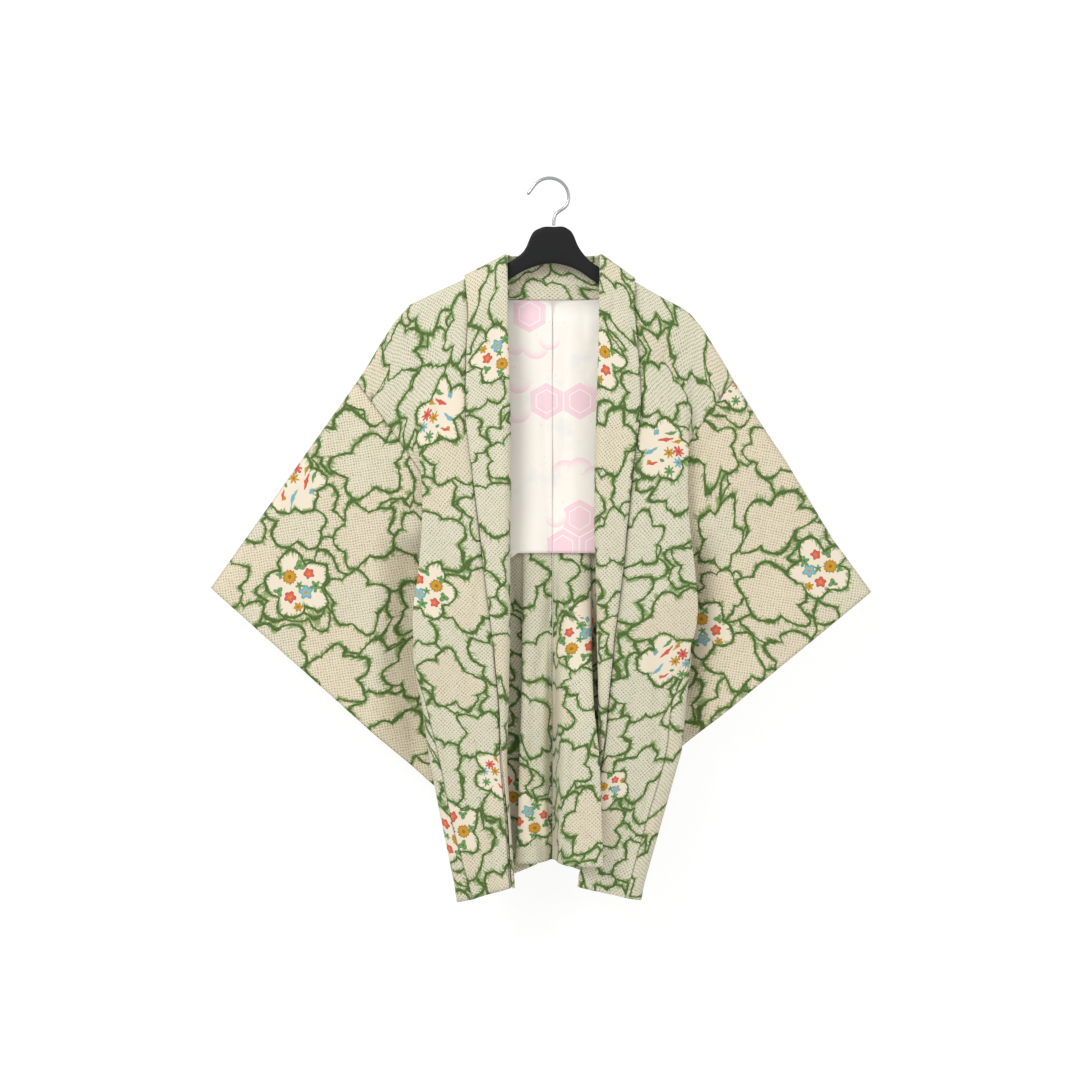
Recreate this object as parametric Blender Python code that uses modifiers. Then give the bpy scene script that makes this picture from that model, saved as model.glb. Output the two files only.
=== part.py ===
"""A haori jacket hanging open on a clothes hanger, as cloth panels 0.3 mm apart at the seams.

Lengths are in metres and +Z is up. The origin is the top inside the hook, where the hanger
hangs. The jacket's front faces -Y. The wearer's right is at -X. The tables are in
millimetres: out is the distance from the middle to either side, down is below the origin,
and depth is towards the front (tables for the fronts) or towards the wall (for the backs).
"""
import math

import bpy
import numpy as np

MM = 0.001
WALL = 1.2 * MM                 # thickness of the outer cloth with what backs it
LINING_WALL = 1.0 * MM
SEAM = 0.5 * MM                 # mid-wall distance left at a seam; the walls stay 0.3 apart
COLLAR_HALF = 55.0              # the folded band's inner half, seam to fold
COLLAR_LIFT = 4.5               # between the band's two halves
ROLL_R = 5.2                    # radius of the front edge's roll
BEND = 9.0                      # extra mesh columns at a bend: each radian counts as this length
CENTRE_X = 4.0                  # the centre-back seam, on the +X side of the origin
HEIGHT_NECK = 157.0             # the back neck seam, below the origin
SLEEVE_GAP = 9.0                # between the two layers of a sleeve
WRIST_SHARE = 0.47              # share of the cuff edge left open for the hand
ARMHOLE_SHARE = 0.62            # share of the sleeve's inner edge that is sewn on
LINING_LIFT = 3.8               # from the back panel to the lining
LINING_DOWN = 485.5             # the lining's lower edge
HANGER_THICK = 8.6
WIRE_R = 2.2

COLS = 15                       # mesh columns over a front panel, and over a back's outer part
NECK_COLS = 7
NECK_CLOTH = 108.0              # cloth from the centre seam to the neck's side

# The top line over the shoulder and along the sleeve: (out, down)
CREST = {
    "right": ((54, 103), (109, 129), (142, 144), (181, 163), (200, 184), (218, 211), (236, 242),
              (250, 263)),
    "left": ((63, 103), (109, 132), (140, 150), (170, 166), (183, 175), (199, 194), (226, 238),
             (239, 261)),
}
SLEEVE_TOP = {
    "right": ((250, 263), (346, 397), (441, 531)),
    "left": ((239, 261), (274, 316), (307, 365), (369, 468), (419, 536)),
}
# The sleeve's inner side: armhole's lower end, free edge, inner bottom; then the cuff's bottom
SLEEVE_IN = {
    "right": ((123, 445), (129, 492), (92, 650), (77, 856)),
    "left": ((112, 443), (119, 490), (90, 650), (72, 822)),
}
NECK_SIDE = {"right": 109.0, "left": 109.0}     # where the collar seam crosses the shoulder

# Fronts, a row per height. down: the row's height. edge: the inner visible edge.
# rolled: length of collar past that edge. fold: the outer fold. tuck: how far the cloth runs
# back behind it. seam, seam_down: the armhole or side seam. Depths towards the front: d_in at
# the inner edge, d_fold at the fold, d_tuck behind it, d_seam at the seam.
FRONT_COLUMNS = ("down", "edge", "rolled", "fold", "tuck", "seam", "seam_down",
                 "d_in", "d_fold", "d_tuck", "d_seam")
FRONT = {
    "right": (
        (157, 54, 0, 142, 181, 235, 284, 20, 16, 12, 8),
        (215, 53, 2, 171, 179, 210, 319, 24, 17, 13, 8),
        (287, 51, 5, 172, 182, 188, 350, 28, 20, 15, 9),
        (345, 50, 11, 168, 165, 162, 387, 30, 23, 16, 10),
        (404, 50, 18, 165, 152, 138, 421, 31, 24, 17, 11),
        (456, 51, 25, 166, 145, 123, 445, 32, 24, 17, 11),
        (514, 51, 32, 171, 148, 122, 508, 32, 25, 17, 11),
        (566, 51, 38, 177, 164, 150, 562, 33, 26, 17, 11),
        (592, 51, 41, 176, 175, 173, 590, 33, 27, 18, 13),
        (618, 52, 44, 172, 176, 177, 618, 33, 24, 20, 15),
        (677, 53, 50, 146, 154, 161, 677, 34, 21, 21, 21),
        (755, 55, 54, 127, 135, 142, 755, 34, 20, 20, 20),
        (839, 50, 56, 109, 116, 124, 843, 35, 20, 20, 20),
        (916, 45, 54, 85, 93, 99, 933, 36, 20, 20, 20),
    ),
    "left": (
        (157, 64, 0, 144, 183, 224, 281, 20, 16, 12, 8),
        (215, 63, 3, 181, 188, 198, 318, 24, 17, 13, 8),
        (287, 61, 7, 180, 178, 176, 349, 28, 22, 14, 9),
        (345, 59, 13, 180, 164, 150, 387, 30, 25, 16, 10),
        (404, 58, 18, 180, 153, 128, 419, 32, 26, 17, 11),
        (456, 58, 23, 183, 149, 112, 443, 33, 26, 17, 11),
        (514, 60, 31, 190, 154, 114, 508, 32, 25, 17, 11),
        (566, 61, 38, 192, 172, 150, 562, 33, 26, 17, 11),
        (592, 61, 41, 187, 182, 176, 590, 33, 26, 19, 12),
        (618, 62, 44, 176, 181, 182, 618, 33, 24, 20, 15),
        (677, 63, 50, 144, 151, 159, 677, 32, 21, 21, 21),
        (742, 62, 54, 135, 143, 151, 742, 31, 20, 20, 20),
        (833, 50, 60, 110, 118, 125, 834, 31, 20, 20, 20),
        (903, 33, 62, 84, 91, 98, 931, 31, 20, 20, 20),
    ),
}
# Backs, a row per height. bulge: the outer side of the soft pleat beside the centre seam.
# pocket: how far the cloth runs back behind the pleat. Depths towards the wall: d_mid at the
# centre seam, d_bulge on the pleat, d_under behind it, d_back on the plain back, d_seam.
BACK_COLUMNS = ("down", "bulge", "pocket", "seam", "seam_down",
                "d_mid", "d_bulge", "d_under", "d_back", "d_seam")
BACK = {
    "right": (
        (180, 38, 90, 235, 284, 12, 12, 12, 11, 8),
        (222, 38, 90, 210, 319, 12, 12, 12, 12, 8),
        (287, 36, 84, 188, 350, 12, 11, 12, 13, 8),
        (345, 36, 77, 162, 387, 12, 10, 12, 14, 8),
        (404, 34, 68, 138, 421, 12, 8, 12, 14, 7),
        (456, 34, 58, 123, 445, 11, 5, 11, 14, 7),
        (514, 34, 47, 120, 508, 10, 2, 9, 13, 8),
        (566, 35, 38, 138, 562, 9, -2, 6, 12, 7),
        (618, 36, 28, 148, 618, 8, -6, 3, 12, 6),
        (677, 37, 21, 150, 677, 7, -9, 0, 11, 4),
        (755, 40, 18, 133, 755, 6, -11, -2, 10, 3),
        (826, 42, 15, 111, 843, 5, -12, -3, 9, 2),
        (886, 46, 14, 93, 928, 5, -13, -4, 8, 2),
    ),
    "left": (
        (180, 46, 98, 224, 281, 12, 12, 12, 11, 8),
        (222, 46, 98, 198, 318, 12, 12, 12, 12, 8),
        (287, 46, 92, 176, 349, 12, 11, 12, 13, 8),
        (345, 49, 89, 150, 387, 12, 10, 12, 14, 8),
        (404, 50, 81, 128, 419, 12, 8, 12, 14, 7),
        (456, 51, 72, 112, 443, 11, 5, 11, 14, 7),
        (514, 53, 66, 113, 508, 10, 0, 8, 13, 8),
        (566, 54, 58, 137, 562, 9, -9, 2, 12, 7),
        (618, 55, 50, 146, 618, 8, -21, -8, 11, 6),
        (677, 57, 44, 149, 677, 7, -37, -27, 10, 4),
        (742, 64, 40, 144, 742, 6, -46, -40, 8, 3),
        (826, 68, 33, 124, 834, 5, -47, -40, 7, 2),
        (889, 71, 18, 94, 926, 4, -48, -41, 6, 2),
    ),
}
# The gusset's outer bend: (down, out)
GUSSET_EDGE = {
    "right": ((445, 123), (514, 121), (566, 150.5), (592, 173), (618, 179), (677, 166), (755, 155), (833, 140),
              (939, 118)),
    "left": ((443, 112), (514, 113.5), (566, 148.5), (592, 177), (618, 184), (677, 177), (742, 171), (834, 145),
             (937, 116)),
}
SIDES = {"right": -1.0, "left": 1.0}

# Mesh rows as heights of the front row (down), from the shoulder to the hem
ROWS = (157, 190, 230, 275, 320, 365, 404, 430, 456, 485, 514, 540, 566, 592, 618, 648, 677,
        716, 755, 797, 839, 878, 916)


def smooth(table, at):
    """The table's columns at the heights in at, along a curve through its rows. The first column
    is the height, and the curve's slope at a row is the mean of the slopes beside it."""
    t = np.asarray(table, float)
    x, y = t[:, 0], t[:, 1:]
    slope = np.gradient(y, x, axis=0)
    at = np.clip(np.asarray(at, float), x[0], x[-1])
    k = np.clip(np.searchsorted(x, at, side="right") - 1, 0, len(x) - 2)
    h = (x[k + 1] - x[k])[:, None]
    u = ((at - x[k]) / h[:, 0])[:, None]
    return ((2 * u**3 - 3 * u**2 + 1) * y[k] + (u**3 - 2 * u**2 + u) * h * slope[k]
            + (3 * u**2 - 2 * u**3) * y[k + 1] + (u**3 - u**2) * h * slope[k + 1])


def line_at(points, x):
    """The straight-sided line through points, at x."""
    p = np.asarray(points, float)
    return np.interp(x, p[:, 0], p[:, 1])


def spline(controls, t):
    """A quadratic B-spline with its ends on the first and last control points, at t from 0 to 1."""
    c = np.asarray(controls, float)
    n = len(c)
    spans = n - 2
    knots = np.concatenate([[0, 0], np.arange(spans + 1), [spans, spans]])
    s = np.clip(np.asarray(t, float), 0, 1) * spans
    k = np.clip(np.floor(s).astype(int), 0, spans - 1) + 2
    d = [c[k - 2], c[k - 1], c[k]]
    for r in (1, 2):
        for j in range(2, r - 1, -1):
            i = k - 2 + j
            lo, hi = knots[i], knots[i + 3 - r]
            a = ((s - lo) / (hi - lo))[:, None]
            d[j] = (1 - a) * d[j - 1] + a * d[j]
    return d[2]


def run_lengths(line):
    return np.concatenate([[0], np.cumsum(np.linalg.norm(np.diff(line, axis=0), axis=1))])


def columns(line, start, end, n):
    """n points of a dense line from length start to end, closer together where it bends."""
    run = run_lengths(line)
    step = np.diff(line, axis=0)
    step /= np.maximum(np.linalg.norm(step, axis=1), 1e-9)[:, None]
    turn = np.arccos(np.clip((step[1:] * step[:-1]).sum(1), -1, 1))
    weight = run + BEND * np.concatenate([[0], np.cumsum(turn), [turn.sum()]])
    ends = np.interp([start, end], run, weight)
    at = np.interp(np.linspace(*ends, n), weight, run)
    return np.stack([np.interp(at, run, line[:, k]) for k in range(3)], 1)


def row_dict(columns, table, at):
    values = smooth(table, at)
    return [dict(zip(columns[1:], v)) | {"down": d} for v, d in zip(values, at)]


def front_line(side, row):
    """A front's plan line, densely: from the collar's fold round the inner edge, over the face,
    round the outer fold and back to the seam, as (out, y, down) in millimetres."""
    crest = CREST[side]
    down = row["down"]
    level = np.clip((down - 157) / 240, 0, 1)
    level = level * level * (3 - 2 * level)
    depth = down - line_at(crest, 66)

    def z(out):
        return (1 - level) * (line_at(crest, max(out, 66)) + depth) + level * down

    d = row["d_in"]
    phi = min(row["rolled"] / ROLL_R, math.pi)
    run = max(row["rolled"] - math.pi * ROLL_R, 0.0)
    lead = math.sin(min(phi, math.pi / 2))
    edge = row["edge"] + COLLAR_LIFT * (0.5 + 0.5 * lead)
    start = edge + ROLL_R * lead
    slope = row["seam_down"] - z(row["fold"])
    fold, tuck, seam = row["fold"], row["tuck"], row["seam"]
    mid = 0.5 * (start + min(fold, tuck, seam + 40))
    face = spline([
        (start, -d, z(start)), (start + 10, -d, z(start + 10)),
        (mid, -0.5 * (d + row["d_fold"]) - 1.0, z(mid)),
        (fold, -row["d_fold"], z(fold) + 0.3 * slope),
        (fold + 0.12 * (tuck - fold), -row["d_tuck"] - 1.2, z(fold) + 0.42 * slope),
        (tuck, -row["d_tuck"] + 1.2, z(fold) + 0.62 * slope),
        (tuck + 0.3 * (seam - tuck), -row["d_seam"], z(fold) + 0.82 * slope),
        (seam, -row["d_seam"], row["seam_down"]),
    ], np.linspace(0, 1, 300))
    theta = np.linspace(phi, 0, 60)[:-1]
    roll = np.stack([start - ROLL_R * np.sin(theta), ROLL_R * (1 - np.cos(theta)) - d,
                     np.full(59, z(start))], 1)
    back = np.linspace(run, 0, 60)[:-1]
    tail = np.stack([start + back, 2 * ROLL_R - d + 20 * (back / 50) ** 1.5,
                     np.full(59, z(start))], 1)
    line = np.concatenate([tail if run else roll[:1], roll if phi else face[:1], face])
    if down > 600:                              # below the armhole a row runs level to the hem
        share = np.clip((line[:, 0] - edge) / (seam - edge), 0, 1)
        line[:, 2] = down + (row["seam_down"] - down) * share
    return line[np.concatenate([[True], np.linalg.norm(np.diff(line, axis=0), axis=1) > 1e-6])]


def back_line(side, row):
    """A back's plan line, densely, from the centre seam over the pleat to the seam."""
    crest = CREST[side]
    down = row["down"]
    level = np.clip((down - 180) / 220, 0, 1)
    level = level * level * (3 - 2 * level)
    neck = NECK_SIDE[side]
    depth = down - HEIGHT_NECK
    mid = CENTRE_X * SIDES[side]
    bulge, pocket, seam = row["bulge"], row["pocket"], row["seam"]
    outer = 0.45 * pocket + 0.55 * seam

    def z(out):
        drop = max(0.0, line_at(crest, out) - line_at(crest, neck)) if out > neck else 0.0
        lift = (HEIGHT_NECK - line_at(crest, neck) - 6) * np.clip((out - 70) / 40, 0, 1)
        return down + (1 - level) * (drop - lift * (1 - np.clip(depth / 120, 0, 1)))

    slope = row["seam_down"] - z(outer)
    hem = np.clip((down - 826) / 60, 0, 1)
    return spline([
        (mid, row["d_mid"], down - 4 * hem),
        (mid + 4, row["d_mid"], down - 4 * hem),
        (mid + 9, row["d_bulge"] + 3, down - 2 * hem),
        (0.5 * (mid + bulge) + 4, row["d_bulge"] - 1.5, down),
        (bulge, row["d_bulge"], down),
        (bulge + 0.1 * (pocket - bulge), row["d_under"] - 1.5, z(bulge)),
        (pocket, row["d_under"] + 1.5, z(pocket)),
        (pocket + 0.12 * (outer - pocket), row["d_back"], z(pocket) + 0.1 * slope * hem),
        (outer, row["d_back"], z(outer) + 0.5 * slope * hem),
        (0.35 * outer + 0.65 * seam, 0.5 * (row["d_back"] + row["d_seam"]),
         z(0.35 * outer + 0.65 * seam) * 0.45 + 0.55 * (z(outer) + 0.7 * slope)),
        (seam, row["d_seam"], row["seam_down"]),
    ], np.linspace(0, 1, 400))


def neck_line(side, share):
    """The collar seam from the shoulder (share 0) to the centre back (1): (out, y, down)."""
    n = NECK_SIDE[side]
    mid = CENTRE_X * SIDES[side]
    top = line_at(CREST[side], n)
    return spline([(n, 0, top), (n - 3, 4.5, top + 2), (n - 9, 8.5, top + 9),
                   (n - 22, 11.5, HEIGHT_NECK - 7), (n - 42, 12.5, HEIGHT_NECK - 1),
                   (0.5 * (n + mid) - 25, 12.5, HEIGHT_NECK), (mid, 12, HEIGHT_NECK)], share)


def collar_fold(side, share):
    """The collar's fold from the shoulder (share 0) round to the centre back (1)."""
    e = FRONT[side][0][1] + 0.5 * COLLAR_LIFT
    mid = CENTRE_X * SIDES[side]
    return spline([(e, 0, 101.5), (e - 1, 6, 101), (e - 7, 13, 100), (0.62 * e, 19, 99),
                   (mid + 0.25 * (e - mid), 21, 99), (mid, 21, 99)], share)


def front_lines(side):
    return [front_line(side, row) for row in row_dict(FRONT_COLUMNS, FRONT[side], ROWS)]


def seam_gap(line, at):
    """Half the gap of a seam at a length along a line, wider where the line bends."""
    run = run_lengths(line)
    a, b, c = (np.array([np.interp(x, run, line[:, k]) for k in range(3)])
               for x in (at - 6, at, at + 6))
    u, v = (b - a) / np.linalg.norm(b - a), (c - b) / np.linalg.norm(c - b)
    return 0.5 * SEAM / MM + 0.8 * WALL / MM * math.sin(math.acos(np.clip(u @ v, -1, 1)) / 2)


def to_space(grid, side):
    """Table axes (out, y, down) in millimetres to model axes in metres."""
    g = np.asarray(grid, float)
    return np.stack([g[..., 0] * SIDES[side], g[..., 1], -g[..., 2]], -1) * MM


def over_arm(top, first, sign):
    """Rows of a bend between the shoulder's crest and the first full row below it."""
    rows = []
    for fall, depth in ((2.4, 5.6), (7.5, 7.9)):
        share = (fall / np.linalg.norm((first - top)[:, [0, 2]], axis=1))[:, None]
        p = top + (first - top) * share
        reach = np.minimum(depth, np.abs(first[:, 1]))
        p[:, 1] = sign * np.maximum(np.abs(p[:, 1]), reach)
        rows.append(p)
    return rows


def front_grid(side):
    """Front panel from the shoulder's crest (row 0) to the hem, columns from collar to seam."""
    crest_x = np.interp(np.linspace(0, 1, COLS) ** 0.9, [0, 1],
                        [NECK_SIDE[side], CREST[side][-1][0]])
    top = np.stack([crest_x, np.zeros(COLS), line_at(CREST[side], crest_x)], 1)
    top[0, 0] += 0.2
    rows = []
    for line in front_lines(side):
        rows.append(columns(line, COLLAR_HALF + seam_gap(line, COLLAR_HALF), 1e9, COLS))
    return np.stack([top] + over_arm(top, rows[0], -1) + rows)


def back_grid(side):
    """Back panel from the neck and the shoulder's crest to the hem, columns from the centre."""
    neck = neck_line(side, np.linspace(1, 0, NECK_COLS + 1)[:-1])
    neck[:, 2] += SEAM / MM
    top = np.concatenate([neck, front_grid(side)[0]])
    heights = np.interp(np.array(ROWS, float), [ROWS[0], ROWS[-1]],
                        [BACK[side][0][0], BACK[side][-1][0]])
    rows = []
    for row in row_dict(BACK_COLUMNS, BACK[side], heights):
        line = back_line(side, row)
        rows.append(np.concatenate([columns(line, 0, NECK_CLOTH, NECK_COLS + 1)[:-1],
                                    columns(line, NECK_CLOTH, 1e9, COLS)]))
    g = np.stack([top] + over_arm(top, rows[0], 1) + rows)
    rise = g[:, 1] - g[:, 0]
    g[:, 0, 0] += 0.6 * SEAM / MM + 0.6 * WALL / MM * np.abs(rise[:, 1]) / np.linalg.norm(rise, axis=1)
    return g


def sleeve_frame(side, p, q):
    """A sleeve's middle surface: p along its top fold from armhole to cuff, q down its depth."""
    top = np.asarray(SLEEVE_TOP[side], float)
    run = np.concatenate([[0], np.cumsum(np.linalg.norm(np.diff(top, axis=0), axis=1))])
    t = np.stack([np.interp(p * run[-1], run, top[:, k]) for k in (0, 1)], -1)
    hole, free, inner, cuff = (np.array(c, float) for c in SLEEVE_IN[side])
    shoulder, tip = top[0], top[-1]
    seam = front_grid(side)[:, -1][:, [0, 2]]
    seam = seam[seam[:, 1] < hole[1] - 8]
    length = np.linalg.norm(seam - shoulder, axis=1) / np.linalg.norm(hole - shoulder)
    stops = [*(length * ARMHOLE_SHARE), ARMHOLE_SHARE, ARMHOLE_SHARE + 0.13, 1]
    line = np.concatenate([seam, [hole, free, inner]])
    edge = np.stack([np.interp(q, stops, line[:, k]) for k in (0, 1)], -1)
    far = tip + (cuff - tip) * q[..., None]
    straight = shoulder + (tip - shoulder) * p[..., None]
    place = edge * (1 - p[..., None]) + far * p[..., None] + (t - straight) * (1 - q[..., None])
    out, down = place[..., 0], place[..., 1]
    low = np.clip((down - 448) / 55, 0, 1)
    near = np.clip((235 - out) / 60, 0, 1)
    y = 8 * np.clip(p * 1.5, 0, 1) + 25 * low * low * (3 - 2 * low) * near * near * (3 - 2 * near)
    return out, down, y


def sleeve_mesh(side):
    """Both layers of a sleeve as one loop that is open at the armhole and at the wrist."""
    n_p, n_q = 9, 15
    p = np.linspace(0, 1, n_p)
    q_in = np.linspace(0, 1, n_q)
    rows = []
    for layer, sign in (("front", -1.0), ("back", 1.0)):
        for q in (q_in if layer == "front" else q_in[::-1]):
            out, down, y = sleeve_frame(side, p, np.full(n_p, q))
            near_top = math.sqrt(1 - (1 - min(q / 0.05, 1)) ** 2)
            near_low = math.sqrt(1 - (1 - min((1 - q) / 0.05, 1)) ** 2)
            half = 7.5 + (SLEEVE_GAP / 2 - 7.5) * p + 2 * np.sin(math.pi * p) * math.sin(math.pi * q)
            half = half * (0.12 + 0.88 * near_top * near_low)
            rows.append(np.stack([out, y + sign * half, down], 1))
    g = np.stack(rows)                          # loop, p
    g[:, 0, 0] += 3.6 * SEAM / MM
    sewn = np.clip(q_in / 0.5, 0, 1) * (q_in < ARMHOLE_SHARE + 0.01)
    g[:n_q, 0, 1] -= 1.6 * sewn                 # the front layer starts behind the front's seam
    loop = len(g)
    faces = [(i * n_p + j, i * n_p + j + 1, (i + 1) % loop * n_p + j + 1, (i + 1) % loop * n_p + j)
             for i in range(loop) for j in range(n_p - 1)]
    shut = [k for k in range(n_q) if q_in[k] >= WRIST_SHARE]
    last = n_p - 1
    for k in shut[:-1]:
        a, b = k * n_p + last, (k + 1) * n_p + last
        c, d = (loop - 2 - k) * n_p + last, (loop - 1 - k) * n_p + last
        faces.append((a, d, c, b))
    return to_space(g, side).reshape(-1, 3), faces


def collar_section(inner, outward):
    """A folded band: inner is its seam-to-fold line reversed (fold first), outward the unit
    directions to its outer side. Returns the line seam, fold, free edge."""
    lift = COLLAR_LIFT
    tip = inner[0] - inner[1]
    tip = tip / np.linalg.norm(tip)
    turn = [inner[0] + tip * lift * 0.35 + outward[0] * lift * 0.15,
            inner[0] + tip * lift * 0.5 + outward[0] * lift * 0.5,
            inner[0] + tip * lift * 0.35 + outward[0] * lift * 0.85]
    return np.concatenate([inner[::-1], turn, inner + outward * lift])


def collar_rows(side):
    """The collar's sections on one side, from the hem up and round to the centre back."""
    n = 8
    lines = front_lines(side)
    rows = []
    for line in lines[::-1]:
        inner = columns(line, 0, COLLAR_HALF - seam_gap(line, COLLAR_HALF), n)
        tangent = np.gradient(inner, axis=0)[:, :2]
        normal = np.stack([tangent[:, 1], -tangent[:, 0], np.zeros(n)], 1)
        normal /= np.linalg.norm(normal, axis=1)[:, None]
        rows.append(collar_section(inner, normal))
    first = columns(lines[0], 0, COLLAR_HALF, 2)
    crest = np.stack([collar_fold(side, np.array([0.0]))[0], neck_line(side, np.array([0.0]))[0]])
    for fall, depth, lean in ((25, 11.5, 0.5), (8, 8.6, 0.8), (2, 5.8, 0.95), (0, 0, 1.0)):
        ends = crest + [0, 0, fall]
        ends[:, 0] += (first - crest)[:, 0] * (1 - lean)
        ends[:, 1] = -depth
        rows.append(neck_section(ends, [0, -math.sin(math.pi / 2 * (1 - lean)) - 0.1,
                                        -lean], n))
    for share in (0.14, 0.28, 0.44, 0.6, 0.8, 1.0):
        ends = np.stack([collar_fold(side, np.array([share]))[0],
                         neck_line(side, np.array([share]))[0]])
        angle = math.pi / 2 * min(share / 0.45, 1.0)
        rows.append(neck_section(ends, [0.25 * math.sin(2 * angle), math.sin(angle),
                                        -math.cos(angle)], n))
    return np.stack(rows)


def neck_section(ends, outward, n):
    """A straight section from the fold to the seam, lifted on its outward side."""
    fold, seam = ends
    seam = seam - 1.6 * SEAM / MM * (seam - fold) / np.linalg.norm(seam - fold)
    inner = fold + (seam - fold) * np.linspace(0, 1, n)[:, None]
    down = (seam - fold) / np.linalg.norm(seam - fold)
    out = np.array(outward, float)
    out -= (out @ down) * down
    return collar_section(inner, np.tile(out / np.linalg.norm(out), (n, 1)))


def grid_faces(rows, columns, start=0):
    return [(start + i * columns + j, start + i * columns + j + 1,
             start + (i + 1) * columns + j + 1, start + (i + 1) * columns + j)
            for i in range(rows - 1) for j in range(columns - 1)]


def add_object(name, points, faces, material, wall=WALL):
    """An open surface as a closed wall."""
    mesh = bpy.data.meshes.new(name)
    mesh.from_pydata([tuple(p) for p in np.asarray(points, float)], [], faces)
    mesh.validate()
    for f in mesh.polygons:
        f.use_smooth = True
    ob = bpy.data.objects.new(name, mesh)
    bpy.data.collections["haori"].objects.link(ob)
    mesh.materials.append(material)
    if wall:
        mod = ob.modifiers.new("wall", "SOLIDIFY")
        mod.thickness = wall
        mod.offset = 0.0
        mod.use_even_offset = False
    return ob


def material(name, colour, rough, metal=0.0):
    m = bpy.data.materials.new(name)
    m.use_nodes = True
    bsdf = m.node_tree.nodes["Principled BSDF"]
    bsdf.inputs["Base Color"].default_value = (*colour, 1.0)
    bsdf.inputs["Roughness"].default_value = rough
    bsdf.inputs["Metallic"].default_value = metal
    return m


def make_body(side, mat):
    """One length of cloth from the front hem over the shoulder to the back hem."""
    back, front = back_grid(side), front_grid(side)
    rows_b, cols_b = back.shape[:2]
    points = np.concatenate([to_space(back, side).reshape(-1, 3),
                             to_space(front[1:], side).reshape(-1, 3)])
    faces = grid_faces(rows_b, cols_b)
    faces = [f[::-1] for f in faces]
    base = rows_b * cols_b
    for j in range(COLS - 1):
        a = NECK_COLS + j
        faces.append((a, a + 1, base + j + 1, base + j))
    faces += grid_faces(front.shape[0] - 1, COLS, base)
    return add_object(f"body_{side}", points, faces, mat)


def make_collar(mat):
    right, left = collar_rows("right"), collar_rows("left")
    rows = np.concatenate([to_space(right, "right"), to_space(left, "left")[-2::-1]])
    return add_object("collar", rows.reshape(-1, 3), grid_faces(*rows.shape[:2]), mat)


def make_gusset(side, mat):
    """The strip between the side seams, bent round the body's outer edge."""
    heights = np.array([h for h in ROWS if h >= 514], float)
    front = front_grid(side)[-len(heights):]
    back = back_grid(side)[-len(heights):]
    rows = []
    for i in range(len(heights)):
        f, b = (g[i, -1] + (g[i, -1] - g[i, -2]) / np.linalg.norm(g[i, -1] - g[i, -2])
                * 3 * SEAM / MM for g in (front, back))
        edge = line_at(GUSSET_EDGE[side], 0.5 * (f[2] + b[2]))
        z_edge = 0.5 * (f[2] + b[2]) + (7 if i == len(heights) - 1 else 0)
        rows.append(spline([f, (edge, f[1] + 1, z_edge), (edge, b[1] - 1, z_edge), b],
                           np.linspace(0, 1, 8)))
    g = np.stack(rows)
    return add_object(f"gusset_{side}", to_space(g, side).reshape(-1, 3),
                      grid_faces(*g.shape[:2]), mat)


def make_lining(side, mat):
    """Half of the back lining, from the neck seam to its free lower edge."""
    grid = back_grid(side)
    limit = 62.0 if side == "right" else 72.0
    rows = []
    for row in grid:
        x = np.linspace(CENTRE_X * SIDES[side] + 0.35, limit, 7)
        keep = slice(0, NECK_COLS + 6)
        y = np.interp(x, row[keep, 0], row[keep, 1])
        z = np.interp(x, row[keep, 0], row[keep, 2])
        lift = LINING_LIFT * np.sqrt(1 + np.gradient(y, x) ** 2)
        rows.append(np.stack([x, y - lift, z], 1))
    g = np.stack(rows)
    g = np.delete(g, 1, 0)
    g[0, :, 1] += LINING_LIFT - 1.5
    g[0, :, 2] += 0.8
    g = g[g[:, 0, 2] < LINING_DOWN + 8]
    g[-1, :, 2] = LINING_DOWN
    return add_object(f"lining_{side}", to_space(g, side).reshape(-1, 3),
                      grid_faces(*g.shape[:2]), mat, LINING_WALL)


def make_hanger(plastic, steel):
    """The hanger's flat body from an outline curve, and its wire hook."""
    upper = [(-170, -167), (-160, -162.5), (-108, -136), (-54, -108.5), (-44, -102), (-31, -89),
             (-23, -71), (-12, -63), (5.5, -61.4), (22, -63), (30, -70), (37, -86), (46, -99),
             (58, -110), (66, -114.5), (110, -142), (162, -173), (171, -180)]
    lower = [(173, -186), (168, -190), (110, -160), (62, -134), (35, -116), (3, -108), (-28, -115),
             (-54, -129), (-108, -155), (-163, -180), (-171, -174)]
    curve = bpy.data.curves.new("hanger_body", "CURVE")
    curve.dimensions = "2D"
    curve.fill_mode = "BOTH"
    curve.extrude = (HANGER_THICK / 2 - 1.5) * MM
    curve.bevel_depth = 1.5 * MM
    curve.bevel_resolution = 1
    sp = curve.splines.new("POLY")
    points = upper + lower
    sp.points.add(len(points) - 1)
    for p, (x, z) in zip(sp.points, points):
        p.co = (x * MM, z * MM, 0, 1)
    sp.use_cyclic_u = True
    body = bpy.data.objects.new("hanger_body", curve)
    body.rotation_euler = (math.pi / 2, 0, 0)
    bpy.data.collections["haori"].objects.link(body)
    curve.materials.append(plastic)

    r = 25.2                                    # to the wire's centre
    wire = [(-27.0, -18.0), (-24.4, -14.0)]
    wire += [(r * math.cos(a), r * math.sin(a) - 23.0)
             for a in np.radians(np.linspace(150, -28, 20))]
    wire += [(18.5, -39), (13.5, -42.5), (9, -45.5), (6.5, -49), (5.6, -54), (5.5, -59.6)]
    hook = bpy.data.curves.new("hanger_hook", "CURVE")
    hook.dimensions = "3D"
    hook.bevel_depth = WIRE_R * MM
    hook.bevel_resolution = 2
    hook.use_fill_caps = True
    sp = hook.splines.new("POLY")
    sp.points.add(len(wire) - 1)
    for p, (x, z) in zip(sp.points, wire):
        p.co = (x * MM, 0, z * MM, 1)
    ob = bpy.data.objects.new("hanger_hook", hook)
    bpy.data.collections["haori"].objects.link(ob)
    hook.materials.append(steel)


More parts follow.
